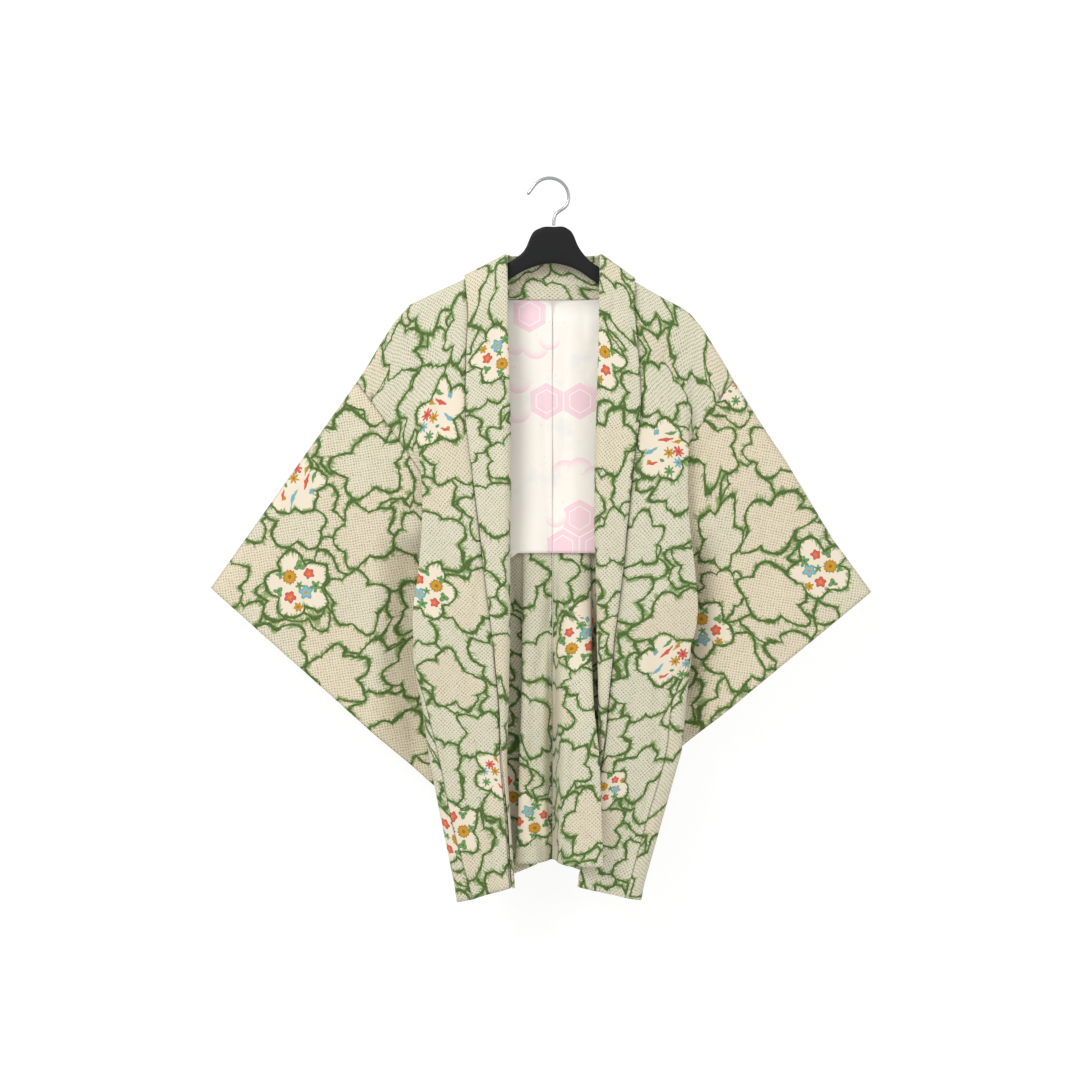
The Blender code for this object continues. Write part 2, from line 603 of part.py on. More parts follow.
def main():
    for ob in list(bpy.data.objects):
        bpy.data.objects.remove(ob, do_unlink=True)
    collection = bpy.data.collections.new("haori")
    bpy.context.scene.collection.children.link(collection)
    for side in SIDES:
        make_body(side, material(f"cloth_body_{side}", (0.80, 0.76, 0.62), 0.85))
        points, faces = sleeve_mesh(side)
        add_object(f"sleeve_{side}", points, faces,
                   material(f"cloth_sleeve_{side}", (0.80, 0.76, 0.60), 0.85))
        make_gusset(side, material(f"cloth_gusset_{side}", (0.78, 0.75, 0.60), 0.85))
        make_lining(side, material(f"cloth_lining_{side}", (0.92, 0.86, 0.82), 0.6))
    make_collar(material("cloth_collar", (0.79, 0.76, 0.61), 0.85))
    make_hanger(material("hanger_plastic", (0.02, 0.02, 0.02), 0.5),
                material("hook_steel", (0.75, 0.75, 0.75), 0.25, 1.0))


main()
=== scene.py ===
# %% [markdown]
# # A haori jacket on its hanger
#
# A haori is a short kimono jacket, sewn from straight lengths of narrow silk. Nothing in its cut
# is curved: the hanger, and the way the cloth falls from it, give every curve that shows. This
# lesson drapes each length as a surface worked out from a few tables of heights and widths, and
# then prints the tie-dyed stars on it with shader nodes.
#
# Lengths in the tables are millimetres. Out is the distance from the middle to the wearer's
# right (-X) or left (+X), down is below the hook's inner top, and depths run towards the front
# (-Y) on the fronts and towards the wall (+Y) on the backs.

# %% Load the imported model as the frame
import math
from types import SimpleNamespace

import bpy
import numpy as np
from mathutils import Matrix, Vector


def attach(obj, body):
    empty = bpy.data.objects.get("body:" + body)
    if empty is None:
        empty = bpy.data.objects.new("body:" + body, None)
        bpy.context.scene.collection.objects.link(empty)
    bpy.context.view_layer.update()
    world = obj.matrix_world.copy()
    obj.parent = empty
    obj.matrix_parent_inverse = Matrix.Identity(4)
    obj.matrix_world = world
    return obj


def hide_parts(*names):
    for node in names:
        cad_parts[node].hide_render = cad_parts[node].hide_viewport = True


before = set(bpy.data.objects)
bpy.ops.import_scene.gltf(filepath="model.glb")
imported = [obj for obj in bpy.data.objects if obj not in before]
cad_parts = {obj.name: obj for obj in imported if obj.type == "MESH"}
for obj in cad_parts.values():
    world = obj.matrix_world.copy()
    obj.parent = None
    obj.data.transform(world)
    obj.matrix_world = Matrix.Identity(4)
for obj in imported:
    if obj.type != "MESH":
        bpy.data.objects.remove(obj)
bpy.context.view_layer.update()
print("nodes:", ", ".join(sorted(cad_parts)))

# %% [markdown]
# ## The drape's sizes
#
# The jacket hangs from the hanger's slope, so the shoulder line follows the arms and then the
# sleeve's own weight. A draper would note, height by height, where the front's inner edge, its
# outer fold and its side seam come to rest. Each table below is such a note: one row for each
# height, with the same widths and depths as the solid model, so that the cloth lies on it.

# %% Tables of the drape
MM = 0.001
COLLAR_HALF = 55.0              # the folded collar's inner half, seam to fold
COLLAR_LIFT = 4.5               # between the collar's two halves
ROLL_R = 5.2                    # radius of the front edge's roll
BEND = 9.0                      # extra columns at a bend: each radian counts as this length
CENTRE_X = 4.0                  # the centre-back seam, on the +X side of the origin
HEIGHT_NECK = 157.0             # the back neck seam
SLEEVE_GAP = 9.0                # between the two layers of a sleeve
WRIST_SHARE = 0.47              # share of the cuff edge left open for the hand
ARMHOLE_SHARE = 0.62            # share of the sleeve's rows, from the top, that are sewn on
LINING_LIFT = 3.8               # from the back cloth to its lining
LINING_DOWN = 485.5             # the lining's lower edge
NECK_CLOTH = 108.0              # cloth from the centre seam to the neck's side
SEAM_HALF = 0.25                # half of the mid-wall gap at a seam
ARM_START = 66.0                # out from here a front's upper rows slope as the shoulder does
LEVEL_FRONT = 240.0             # over this height that slope dies away to level on a front
LEVEL_BACK = 220.0              # and on a back, from BACK_TOP down
BACK_TOP = 180.0
BELOW_ARM = 600.0               # from here down a front's rows run level to the hem
BACK_HEM = 826.0                # from here down the back's rows sag towards the hem
DENSE = 300                     # points along a plan line
LINE_END = 1e9                  # a length past any line's end
CLOTH = 0.9 * MM                # thickness of the shown cloth
SIDES = {"right": -1.0, "left": 1.0}
# The top line over the shoulder and along the sleeve: (out, down)
CREST = {
    "right": ((54, 103), (109, 129), (142, 144), (181, 163), (200, 184), (218, 211), (236, 242),
              (250, 263)),
    "left": ((63, 103), (109, 132), (140, 150), (170, 166), (183, 175), (199, 194), (226, 238),
             (239, 261)),
}
SLEEVE_TOP = {
    "right": ((250, 263), (346, 397), (441, 531)),
    "left": ((239, 261), (274, 316), (307, 365), (369, 468), (419, 536)),
}
# The sleeve's inner side: armhole's lower end, free edge, inner bottom; then the cuff's bottom
SLEEVE_IN = {
    "right": ((123, 445), (129, 492), (92, 650), (77, 856)),
    "left": ((112, 443), (119, 490), (90, 650), (72, 822)),
}
NECK_SIDE = 109.0               # where the collar seam crosses the shoulder

# Fronts, a row per height. down: the row's height. edge: the inner visible edge.
# rolled: length of collar past that edge. fold: the outer fold. tuck: how far the cloth runs
# back behind it. seam, seam_down: the armhole or side seam. Depths towards the front: d_in at
# the inner edge, d_fold at the fold, d_tuck behind it, d_seam at the seam.
FRONT_COLUMNS = ("down", "edge", "rolled", "fold", "tuck", "seam", "seam_down",
                 "d_in", "d_fold", "d_tuck", "d_seam")
FRONT = {"right": (
    (157, 54, 0, 142, 181, 235, 284, 20, 16, 12, 8),
    (215, 53, 2, 171, 179, 210, 319, 24, 17, 13, 8),
    (287, 51, 5, 172, 182, 188, 350, 28, 20, 15, 9),
    (345, 50, 11, 168, 165, 162, 387, 30, 23, 16, 10),
    (404, 50, 18, 165, 152, 138, 421, 31, 24, 17, 11),
    (456, 51, 25, 166, 145, 123, 445, 32, 24, 17, 11),
    (514, 51, 32, 171, 148, 122, 508, 32, 25, 17, 11),
    (566, 51, 38, 177, 164, 150, 562, 33, 26, 17, 11),
    (592, 51, 41, 176, 175, 173, 590, 33, 27, 18, 13),
    (618, 52, 44, 172, 176, 177, 618, 33, 24, 20, 15),
    (677, 53, 50, 146, 154, 161, 677, 34, 21, 21, 21),
    (755, 55, 54, 127, 135, 142, 755, 34, 20, 20, 20),
    (839, 50, 56, 109, 116, 124, 843, 35, 20, 20, 20),
    (916, 45, 54, 85, 93, 99, 933, 36, 20, 20, 20),
), "left": (
    (157, 64, 0, 144, 183, 224, 281, 20, 16, 12, 8),
    (215, 63, 3, 181, 188, 198, 318, 24, 17, 13, 8),
    (287, 61, 7, 180, 178, 176, 349, 28, 22, 14, 9),
    (345, 59, 13, 180, 164, 150, 387, 30, 25, 16, 10),
    (404, 58, 18, 180, 153, 128, 419, 32, 26, 17, 11),
    (456, 58, 23, 183, 149, 112, 443, 33, 26, 17, 11),
    (514, 60, 31, 190, 154, 114, 508, 32, 25, 17, 11),
    (566, 61, 38, 192, 172, 150, 562, 33, 26, 17, 11),
    (592, 61, 41, 187, 182, 176, 590, 33, 26, 19, 12),
    (618, 62, 44, 176, 181, 182, 618, 33, 24, 20, 15),
    (677, 63, 50, 144, 151, 159, 677, 32, 21, 21, 21),
    (742, 62, 54, 135, 143, 151, 742, 31, 20, 20, 20),
    (833, 50, 60, 110, 118, 125, 834, 31, 20, 20, 20),
    (903, 33, 62, 84, 91, 98, 931, 31, 20, 20, 20),
)}
# Backs, a row per height. bulge: the outer side of the soft pleat beside the centre seam.
# pocket: how far the cloth runs back behind the pleat. Depths towards the wall: d_mid at the
# centre seam, d_bulge on the pleat, d_under behind it, d_back on the plain back, d_seam.
BACK_COLUMNS = ("down", "bulge", "pocket", "seam", "seam_down",
                "d_mid", "d_bulge", "d_under", "d_back", "d_seam")
BACK = {"right": (
    (180, 38, 90, 235, 284, 12, 12, 12, 11, 8),
    (222, 38, 90, 210, 319, 12, 12, 12, 12, 8),
    (287, 36, 84, 188, 350, 12, 11, 12, 13, 8),
    (345, 36, 77, 162, 387, 12, 10, 12, 14, 8),
    (404, 34, 68, 138, 421, 12, 8, 12, 14, 7),
    (456, 34, 58, 123, 445, 11, 5, 11, 14, 7),
    (514, 34, 47, 120, 508, 10, 2, 9, 13, 8),
    (566, 35, 38, 138, 562, 9, -2, 6, 12, 7),
    (618, 36, 28, 148, 618, 8, -6, 3, 12, 6),
    (677, 37, 21, 150, 677, 7, -9, 0, 11, 4),
    (755, 40, 18, 133, 755, 6, -11, -2, 10, 3),
    (826, 42, 15, 111, 843, 5, -12, -3, 9, 2),
    (886, 46, 14, 93, 928, 5, -13, -4, 8, 2),
), "left": (
    (180, 46, 98, 224, 281, 12, 12, 12, 11, 8),
    (222, 46, 98, 198, 318, 12, 12, 12, 12, 8),
    (287, 46, 92, 176, 349, 12, 11, 12, 13, 8),
    (345, 49, 89, 150, 387, 12, 10, 12, 14, 8),
    (404, 50, 81, 128, 419, 12, 8, 12, 14, 7),
    (456, 51, 72, 112, 443, 11, 5, 11, 14, 7),
    (514, 53, 66, 113, 508, 10, 0, 8, 13, 8),
    (566, 54, 58, 137, 562, 9, -9, 2, 12, 7),
    (618, 55, 50, 146, 618, 8, -21, -8, 11, 6),
    (677, 57, 44, 149, 677, 7, -37, -27, 10, 4),
    (742, 64, 40, 144, 742, 6, -46, -40, 8, 3),
    (826, 68, 33, 124, 834, 5, -47, -40, 7, 2),
    (889, 71, 18, 94, 926, 4, -48, -41, 6, 2),
)}
# The gusset's outer bend: (down, out)
GUSSET_EDGE = {
    "right": ((445, 123), (514, 121), (566, 150.5), (592, 173), (618, 179), (677, 166),
              (755, 155), (833, 140), (939, 118)),
    "left": ((443, 112), (514, 113.5), (566, 148.5), (592, 177), (618, 184), (677, 177),
             (742, 171), (834, 145), (937, 116)),
}
print("rows in the tables:", len(FRONT["right"]), "for a front,", len(BACK["right"]), "for a back")

# %% [markdown]
# ## Curves through the tables
#
# Two kinds of curve are enough. Down the garment, a cubic through the table's rows keeps every
# noted height exact. Across it, a quadratic B-spline rounds the corners of a few control points,
# which is how cloth turns: it never quite reaches the corner.

# %% Curve helpers
def smooth(table, at):
    """Rows of the table at the heights in at. Between two rows each column is a cubic in
    u = (height - row) / (next row - row), whose slope at a row is the mean of its neighbours'."""
    t = np.asarray(table, float)
    x, y = t[:, 0], t[:, 1:]
    slope = np.gradient(y, x, axis=0)
    at = np.clip(np.asarray(at, float), x[0], x[-1])
    k = np.clip(np.searchsorted(x, at, side="right") - 1, 0, len(x) - 2)
    h = (x[k + 1] - x[k])[:, None]
    u = (at - x[k])[:, None] / h
    return ((2 * u**3 - 3 * u**2 + 1) * y[k] + (u**3 - 2 * u**2 + u) * h * slope[k]
            + (3 * u**2 - 2 * u**3) * y[k + 1] + (u**3 - u**2) * h * slope[k + 1])


def line_at(points, x):
    """Height of the straight-sided line through points, at x."""
    return np.interp(x, *np.transpose(points))


def spline(controls, t):
    """A quadratic B-spline over the control points: each stretch is the weighted mean of three
    neighbours, with weights that rise and fall as t runs from 0 to 1, and clamped ends."""
    c = np.asarray(controls, float)
    spans = len(c) - 2
    knots = np.concatenate([[0, 0], np.arange(spans + 1), [spans, spans]])
    s = np.clip(np.asarray(t, float), 0, 1) * spans
    k = np.clip(np.floor(s).astype(int), 0, spans - 1) + 2
    d = [c[k - 2], c[k - 1], c[k]]
    for r in (1, 2):
        for j in range(2, r - 1, -1):
            lo, hi = knots[k - 2 + j], knots[k + 1 + j - r]
            a = ((s - lo) / (hi - lo))[:, None]
            d[j] = (1 - a) * d[j - 1] + a * d[j]
    return d[2]


def run_lengths(line):
    """Length along a line at each of its points: the running sum of its steps."""
    return np.concatenate([[0], np.cumsum(np.linalg.norm(np.diff(line, axis=0), axis=1))])


def unit(v):
    """v with a length of 1, for each row where v is a table."""
    return v / np.linalg.norm(v, axis=-1, keepdims=True)


def columns(line, start, end, n):
    """n points of a line between two lengths, spaced evenly in length + BEND * angle turned."""
    run = run_lengths(line)
    step = unit(np.diff(line, axis=0))
    turn = np.arccos(np.clip((step[1:] * step[:-1]).sum(1), -1, 1))
    weight = run + BEND * np.concatenate([[0], np.cumsum(turn), [turn.sum()]])
    ends = np.interp([start, end], run, weight)
    at = np.interp(np.linspace(*ends, n), weight, run)
    return np.stack([np.interp(at, run, line[:, k]) for k in range(3)], 1)


def rows_at(names, table, at):
    """The table at each height in at, with its columns as names: row.fold, row.seam, ..."""
    return [SimpleNamespace(**dict(zip(names, (d, *v)))) for v, d in zip(smooth(table, at), at)]


def ease(x):
    """Smooth step of x from 0 to 1: 3x^2 - 2x^3, flat outside."""
    x = np.clip(x, 0, 1)
    return x * x * (3 - 2 * x)


# %% [markdown]
# ## Plan lines
#
# A plan line is what a level saw cut through the hanging jacket would show: one line for a
# front and one for a back. The front's line starts at the collar's fold, rolls round the inner
# edge, crosses the face, turns round the outer fold and comes back to the side seam. The back's
# line starts at the centre seam, swells over a soft pleat and runs flat to the same seam.

# %% Plan line of a front
def front_line(side, row):
    """A front's plan line, densely: from the collar's fold round the inner edge, over the face,
    round the outer fold and back to the seam, as (out, y, down) in millimetres."""
    crest = CREST[side]
    down = row.down
    level = ease((down - HEIGHT_NECK) / LEVEL_FRONT)
    depth = down - line_at(crest, ARM_START)

    def z(out):
        return (1 - level) * (line_at(crest, max(out, ARM_START)) + depth) + level * down

    d = row.d_in
    phi = min(row.rolled / ROLL_R, math.pi)
    run = max(row.rolled - math.pi * ROLL_R, 0.0)
    lead = math.sin(min(phi, math.pi / 2))
    edge = row.edge + COLLAR_LIFT * (0.5 + 0.5 * lead)
    start = edge + ROLL_R * lead
    slope = row.seam_down - z(row.fold)
    fold, tuck, seam = row.fold, row.tuck, row.seam
    mid = 0.5 * (start + min(fold, tuck, seam + 40))
    face = spline([
        (start, -d, z(start)), (start + 10, -d, z(start + 10)),
        (mid, -0.5 * (d + row.d_fold) - 1.0, z(mid)),
        (fold, -row.d_fold, z(fold) + 0.3 * slope),
        (fold + 0.12 * (tuck - fold), -row.d_tuck - 1.2, z(fold) + 0.42 * slope),
        (tuck, -row.d_tuck + 1.2, z(fold) + 0.62 * slope),
        (tuck + 0.3 * (seam - tuck), -row.d_seam, z(fold) + 0.82 * slope),
        (seam, -row.d_seam, row.seam_down),
    ], np.linspace(0, 1, DENSE))
    theta, back = np.linspace([phi, run], 0, DENSE // 5)[:-1].T
    height = np.full(len(theta), z(start))
    roll = np.stack([start - ROLL_R * np.sin(theta), ROLL_R * (1 - np.cos(theta)) - d, height], 1)
    tail = np.stack([start + back, 2 * ROLL_R - d + 20 * (back / 50) ** 1.5, height], 1)
    line = np.concatenate([tail if run else roll[:1], roll if phi else face[:1], face])
    if down > BELOW_ARM:
        share = np.clip((line[:, 0] - edge) / (seam - edge), 0, 1)
        line[:, 2] = down + (row.seam_down - down) * share
    return line[np.concatenate([[True], np.linalg.norm(np.diff(line, axis=0), axis=1) > 1e-6])]


# %% Plan lines of a back, the neck and the collar's fold
def back_line(side, row):
    """A back's plan line, densely, from the centre seam over the pleat to the seam. Near the
    top its heights rise from the neck seam to the neck's side and fall with the shoulder."""
    crest = CREST[side]
    down = row.down
    level = ease((down - BACK_TOP) / LEVEL_BACK)
    top = line_at(crest, NECK_SIDE)
    depth = down - HEIGHT_NECK
    mid = CENTRE_X * SIDES[side]
    bulge, pocket, seam = row.bulge, row.pocket, row.seam
    outer = 0.45 * pocket + 0.55 * seam

    def z(out):
        drop = max(0.0, line_at(crest, out) - top) if out > NECK_SIDE else 0.0
        lift = (HEIGHT_NECK - top - 6) * np.clip((out - 70) / 40, 0, 1)
        return down + (1 - level) * (drop - lift * (1 - np.clip(depth / 120, 0, 1)))

    slope = row.seam_down - z(outer)
    hem = np.clip((down - BACK_HEM) / 60, 0, 1)
    return spline([
        (mid, row.d_mid, down - 4 * hem),
        (mid + 4, row.d_mid, down - 4 * hem),
        (mid + 9, row.d_bulge + 3, down - 2 * hem),
        (0.5 * (mid + bulge) + 4, row.d_bulge - 1.5, down),
        (bulge, row.d_bulge, down),
        (bulge + 0.1 * (pocket - bulge), row.d_under - 1.5, z(bulge)),
        (pocket, row.d_under + 1.5, z(pocket)),
        (pocket + 0.12 * (outer - pocket), row.d_back, z(pocket) + 0.1 * slope * hem),
        (outer, row.d_back, z(outer) + 0.5 * slope * hem),
        (0.35 * outer + 0.65 * seam, 0.5 * (row.d_back + row.d_seam),
         z(0.35 * outer + 0.65 * seam) * 0.45 + 0.55 * (z(outer) + 0.7 * slope)),
        (seam, row.d_seam, row.seam_down),
    ], np.linspace(0, 1, DENSE + 100))


def neck_line(side, share):
    """The collar seam from the shoulder (share 0) to the centre back (1): (out, y, down)."""
    n = NECK_SIDE
    mid = CENTRE_X * SIDES[side]
    top = line_at(CREST[side], n)
    return spline([(n, 0, top), (n - 3, 4.5, top + 2), (n - 9, 8.5, top + 9),
                   (n - 22, 11.5, HEIGHT_NECK - 7), (n - 42, 12.5, HEIGHT_NECK - 1),
                   (0.5 * (n + mid) - 25, 12.5, HEIGHT_NECK), (mid, 12, HEIGHT_NECK)], share)


def collar_fold(side, share):
    """The collar's fold from the shoulder (share 0) round to the centre back (1). It starts at
    the front's topmost inner edge, half of COLLAR_LIFT further out."""
    e = FRONT[side][0][1] + 0.5 * COLLAR_LIFT
    mid = CENTRE_X * SIDES[side]
    return spline([(e, 0, 101.5), (e - 1, 6, 101), (e - 7, 13, 100), (0.62 * e, 19, 99),
                   (mid + 0.25 * (e - mid), 21, 99), (mid, 21, 99)], share)


# %% [markdown]
# ## Creases and soft folds
#
# Worn silk is never smooth: it keeps the lines it was folded on in its drawer, and it buckles
# softly where it hangs. Each row of the next tables is one such line, from a start to an end.
# A trough has a positive depth and a ridge a negative one. The same field moves every layer on
# one face of the jacket, so a crease runs on over a seam and two layers never cross.

# %% Table of creases
# (out, down, to_out, to_down, half_width, depth)
CREASES = {
    ("right", "front"): (
        (176, 206, 158, 285, 5, 3.4), (168, 215, 150, 300, 6, -1.8), (124, 190, 116, 560, 11, 1.6),
        (84, 157, 62, 200, 6, 2.2), (96, 160, 78, 215, 5, -1.4), (142, 330, 146, 560, 9, -1.7),
        (104, 420, 96, 880, 8, -1.5), (82, 470, 74, 900, 6, 1.7), (158, 430, 160, 600, 5, 1.5),
        (130, 640, 112, 860, 7, 1.4), (205, 280, 176, 470, 9, 2.2), (232, 330, 196, 600, 12, -2.0),
        (262, 380, 236, 660, 14, 1.6), (300, 420, 300, 600, 18, -1.3), (345, 470, 300, 640, 16, 1.2),
        (150, 520, 132, 700, 7, 1.6), (214, 560, 170, 740, 9, 1.4), (60, 560, 70, 760, 4, -1.0),
    ),
    ("left", "front"): (
        (90, 150, 66, 196, 5, 3.0), (104, 160, 84, 214, 6, -1.8), (180, 205, 178, 330, 5, 2.0),
        (244, 297, 220, 324, 4, 2.6), (220, 324, 190, 364, 5, 1.5), (250, 316, 232, 338, 5, -1.3),
        (92, 769, 136, 786, 2.2, 1.3), (120, 300, 128, 560, 10, 1.6), (150, 340, 156, 570, 8, -1.7),
        (98, 430, 92, 700, 8, -1.3), (132, 610, 116, 860, 7, 1.6), (86, 700, 74, 890, 6, 1.4),
        (200, 340, 196, 520, 8, 2.0), (236, 350, 236, 600, 12, -1.7), (276, 400, 250, 640, 13, 1.6),
        (320, 450, 280, 610, 15, -1.3), (360, 510, 300, 640, 14, 1.0), (182, 540, 150, 690, 8, 1.5),
        (206, 600, 156, 730, 9, -1.2), (168, 470, 172, 590, 5, -1.0),
    ),
    ("right", "back"): (
        (60, 190, 90, 330, 12, -1.8), (120, 220, 104, 480, 12, 1.8), (150, 260, 126, 420, 9, -1.8),
        (210, 260, 150, 420, 8, 2.2), (40, 300, 44, 560, 8, 1.2), (92, 520, 86, 860, 9, -1.8),
        (118, 600, 100, 880, 7, 1.5), (64, 620, 60, 880, 7, 1.3), (240, 330, 190, 560, 13, -1.8),
        (290, 400, 250, 620, 14, 1.6), (340, 470, 290, 620, 15, -1.2), (70, 200, 40, 250, 7, 1.4),
        (-2, 545, -2, 935, 6, 6.0),
    ),
    ("left", "back"): (
        (70, 195, 100, 350, 12, -1.7), (126, 230, 100, 500, 12, 1.9), (160, 240, 130, 400, 8, -1.6),
        (205, 270, 140, 400, 8, 2.0), (110, 520, 108, 880, 9, -1.7), (132, 610, 116, 860, 7, 1.5),
        (230, 340, 200, 570, 12, 1.7), (272, 400, 236, 640, 13, -1.7), (330, 470, 280, 620, 15, 1.2),
        (60, 205, 34, 260, 7, 1.5), (90, 640, 84, 870, 7, 1.2), (6, 545, 6, 935, 6, 6.0),
    ),
}


def crease_field(rows, out, down):
    """Depth of all the creases at each point: for each row, depth * exp(-(d / half width)^2),
    with d the distance from the row's line, faded out over the last fifth at either end."""
    total = np.zeros_like(out)
    for o, d, o2, d2, half, depth in rows:
        length = math.hypot(o2 - o, d2 - d)
        c, s = (o2 - o) / length, (d2 - d) / length
        along = ((out - o) * c + (down - d) * s) / length
        bow = 0.06 * length * np.sin(math.pi * np.clip(along, 0, 1))
        across = (out - o) * s - (down - d) * c - bow
        fade = ease((along + 0.1) / 0.3) * ease((1.1 - along) / 0.3)
        total += depth * np.exp(-(across / half) ** 2) * fade
    return total


def sway(side, face, out, down):
    """Slow waves of hanging cloth: four sines of out and down with lengths from 38 to 170 mm."""
    shift = 1.9 * (side == "left") + 2.7 * (face == "back")
    return (0.50 * np.sin(out / 11.0 + down / 160.0 + shift)
            + 0.42 * np.sin(out / 6.1 - down / 90.0 + 2.1 * shift)
            + 0.35 * np.sin(down / 27.0 + out / 19.0 + 1.3 * shift)
            + 0.22 * np.sin(down / 13.0 - out / 9.0 + 0.7 * shift))


def relief(side, face, out, down):
    """How far a face's layers move towards the wall, in mm: its creases and its sway, faded in
    over the first 30 mm below the shoulder's and the sleeve's top line."""
    below = down - line_at(CREST[side] + SLEEVE_TOP[side][1:], out)
    return ease(below / 30) * (crease_field(CREASES[side, face], out, down)
                               + sway(side, face, out, down))


print("creases:", sum(len(rows) for rows in CREASES.values()))

# %% [markdown]
# ## Panels as grids
#
# A panel is a grid of points: rows run across it at one height and columns run down it. The
# cloth's own flat coordinates come from the same grid. Across, it is the length along the row;
# down, it is the mean length from row to row. The print is drawn in these flat coordinates, so
# it turns round a fold with the cloth instead of cutting through it.

# %% Grids of the fronts and backs
FRONT_HEIGHTS = np.linspace(157, 916, 150)
BACK_HEIGHTS = np.linspace(187, 888, 149)
FALLS = (0.4, 1.0, 2.0, 3.3, 5.0, 7.5, 11, 16, 23, 31)
ARM_BEND = 7.5                  # how far below the crest the bend over the arm ends
ARM_HALF = 7.9                  # half of the bend's width there
FRONT_COLS = 60
NECK_COLS = 26


def over_arm(top, first, sign):
    """Rows of the bend over the hanger's arm. Its depth follows a quarter ellipse, ARM_HALF *
    sqrt(1 - (1 - fall / ARM_BEND)^2), and then a straight line to the first full row."""
    length = np.linalg.norm((first - top)[:, [0, 2]], axis=1)
    depth = np.abs(first[:, 1])
    rows = []
    for fall in FALLS:
        p = top + (first - top) * (fall / length)[:, None]
        turn = ARM_HALF * math.sqrt(1 - (1 - min(fall / ARM_BEND, 1)) ** 2)
        ahead = np.clip((fall - ARM_BEND) / np.maximum(length - ARM_BEND, 1), 0, 1)
        reach = turn + np.maximum(depth - turn, 0) * ahead
        p[:, 1] = sign * np.maximum(np.abs(p[:, 1]), np.minimum(reach, depth))
        rows.append(p)
    return rows


LINES = {side: [front_line(side, row)
                for row in rows_at(FRONT_COLUMNS, FRONT[side], FRONT_HEIGHTS)]
         for side in SIDES}


def front_grid(side):
    """The front from the shoulder's crest to the hem, columns from the collar to the seam."""
    crest_x = np.interp(np.linspace(0, 1, FRONT_COLS) ** 0.9, [0, 1],
                        [NECK_SIDE, CREST[side][-1][0]])
    top = np.stack([crest_x, np.zeros(FRONT_COLS), line_at(CREST[side], crest_x)], 1)
    rows = [columns(line, COLLAR_HALF + SEAM_HALF, LINE_END, FRONT_COLS) for line in LINES[side]]
    return np.stack([top] + over_arm(top, rows[0], -1) + rows)


def back_grid(side):
    """The back from the neck and the shoulder's crest to the hem, columns from the centre."""
    neck = neck_line(side, np.linspace(1, 0, NECK_COLS + 1)[:-1])
    top = np.concatenate([neck, front_grid(side)[0]])
    rows = []
    for row in rows_at(BACK_COLUMNS, BACK[side], BACK_HEIGHTS):
        line = back_line(side, row)
        rows.append(np.concatenate([columns(line, 0, NECK_CLOTH, NECK_COLS + 1)[:-1],
                                    columns(line, NECK_CLOTH, LINE_END, FRONT_COLS)]))
    g = np.stack([top] + over_arm(top, rows[0], 1) + rows)
    g[:, 0, 0] += SEAM_HALF
    return g


def flat_coordinates(grid, start=0.0):
    """Flat coordinates of a grid in mm: the length along each row, with start taken off, and
    the mean length from row to row."""
    across = np.linalg.norm(np.diff(grid, axis=1, prepend=grid[:, :1]), axis=2).cumsum(1)
    down = np.linalg.norm(np.diff(grid, axis=0, prepend=grid[:1]), axis=2).mean(1).cumsum()
    return np.stack(np.broadcast_arrays(across - start, down[:, None]), -1)


def with_relief(grid, side, face):
    """A grid with its face's relief added to its depths."""
    g = grid.copy()
    g[..., 1] += relief(side, face, g[..., 0], g[..., 2])
    return g


GRIDS = {(side, face): make(side)
         for side in SIDES for face, make in (("front", front_grid), ("back", back_grid))}
for key, g in GRIDS.items():
    flat = flat_coordinates(g)
    print(*key, "grid", g.shape[:2], "flat length %.0f mm, hem %.0f mm wide"
          % (flat[-1, 0, 1], flat[-1, -1, 0]))

# %% [markdown]
# ## From a grid to a cloth piece
#
# A grid becomes a mesh of quads with a UV map in metres of flat cloth. Solidify then gives the
# wall its thickness and closes it round every edge. Each point also remembers how far it is from
# the nearest sewn edge, for the pucker beside a seam and the painted shade along it.

# %% Mesh builder
collection = bpy.data.collections.new("haori_cloth")
bpy.context.scene.collection.children.link(collection)


def new_piece(name, node, points, faces):
    """A smooth mesh at points in metres, which stands for the model's node of that name."""
    mesh = bpy.data.meshes.new(name)
    mesh.from_pydata(points.tolist(), [], faces)
    mesh.polygons.foreach_set("use_smooth", np.ones(len(mesh.polygons), bool))
    ob = bpy.data.objects.new(name, mesh)
    collection.objects.link(ob)
    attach(ob, "root")
    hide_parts(node)
    print(name, len(mesh.polygons), "faces")
    return ob


def to_space(grid, side):
    """Table axes (out, depth, down) in mm to points (x, y, z) in metres, as a list of rows."""
    return (grid * [SIDES[side], 1, -1]).reshape(-1, 3) * MM


def quads(rows, cols, start=0, flip=False):
    """Vertex numbers of a grid's faces: (i, j), (i, j+1), (i+1, j+1), (i+1, j)."""
    i, j = np.meshgrid(np.arange(rows - 1), np.arange(cols - 1), indexing="ij")
    a = start + i * cols + j
    f = np.stack([a, a + 1, a + cols + 1, a + cols], -1).reshape(-1, 4)
    return f[:, ::-1] if flip else f


def cloth_piece(name, node, points, faces, flat, seam, wall=CLOTH):
    """A sheet: points in metres, and in mm its flat coordinates, one pair for each point or
    one for each corner of a face, and each point's distance from a sewn edge."""
    ob = new_piece(name, node, points, faces.tolist())
    mesh = ob.data
    flat = flat.reshape(-1, 2)
    corners = flat[faces] if len(flat) == len(points) else flat
    layer = mesh.uv_layers.new(name="cloth")
    layer.data.foreach_set("uv", (corners.reshape(-1) * MM).astype(np.float32))
    attribute = mesh.attributes.new("seam", "FLOAT", "POINT")
    attribute.data.foreach_set("value", (seam.reshape(-1) * MM).astype(np.float32))
    mesh.update()
    solid = ob.modifiers.new("wall", "SOLIDIFY")
    solid.thickness = wall
    solid.offset = 0.0
    solid.use_even_offset = False
    return ob


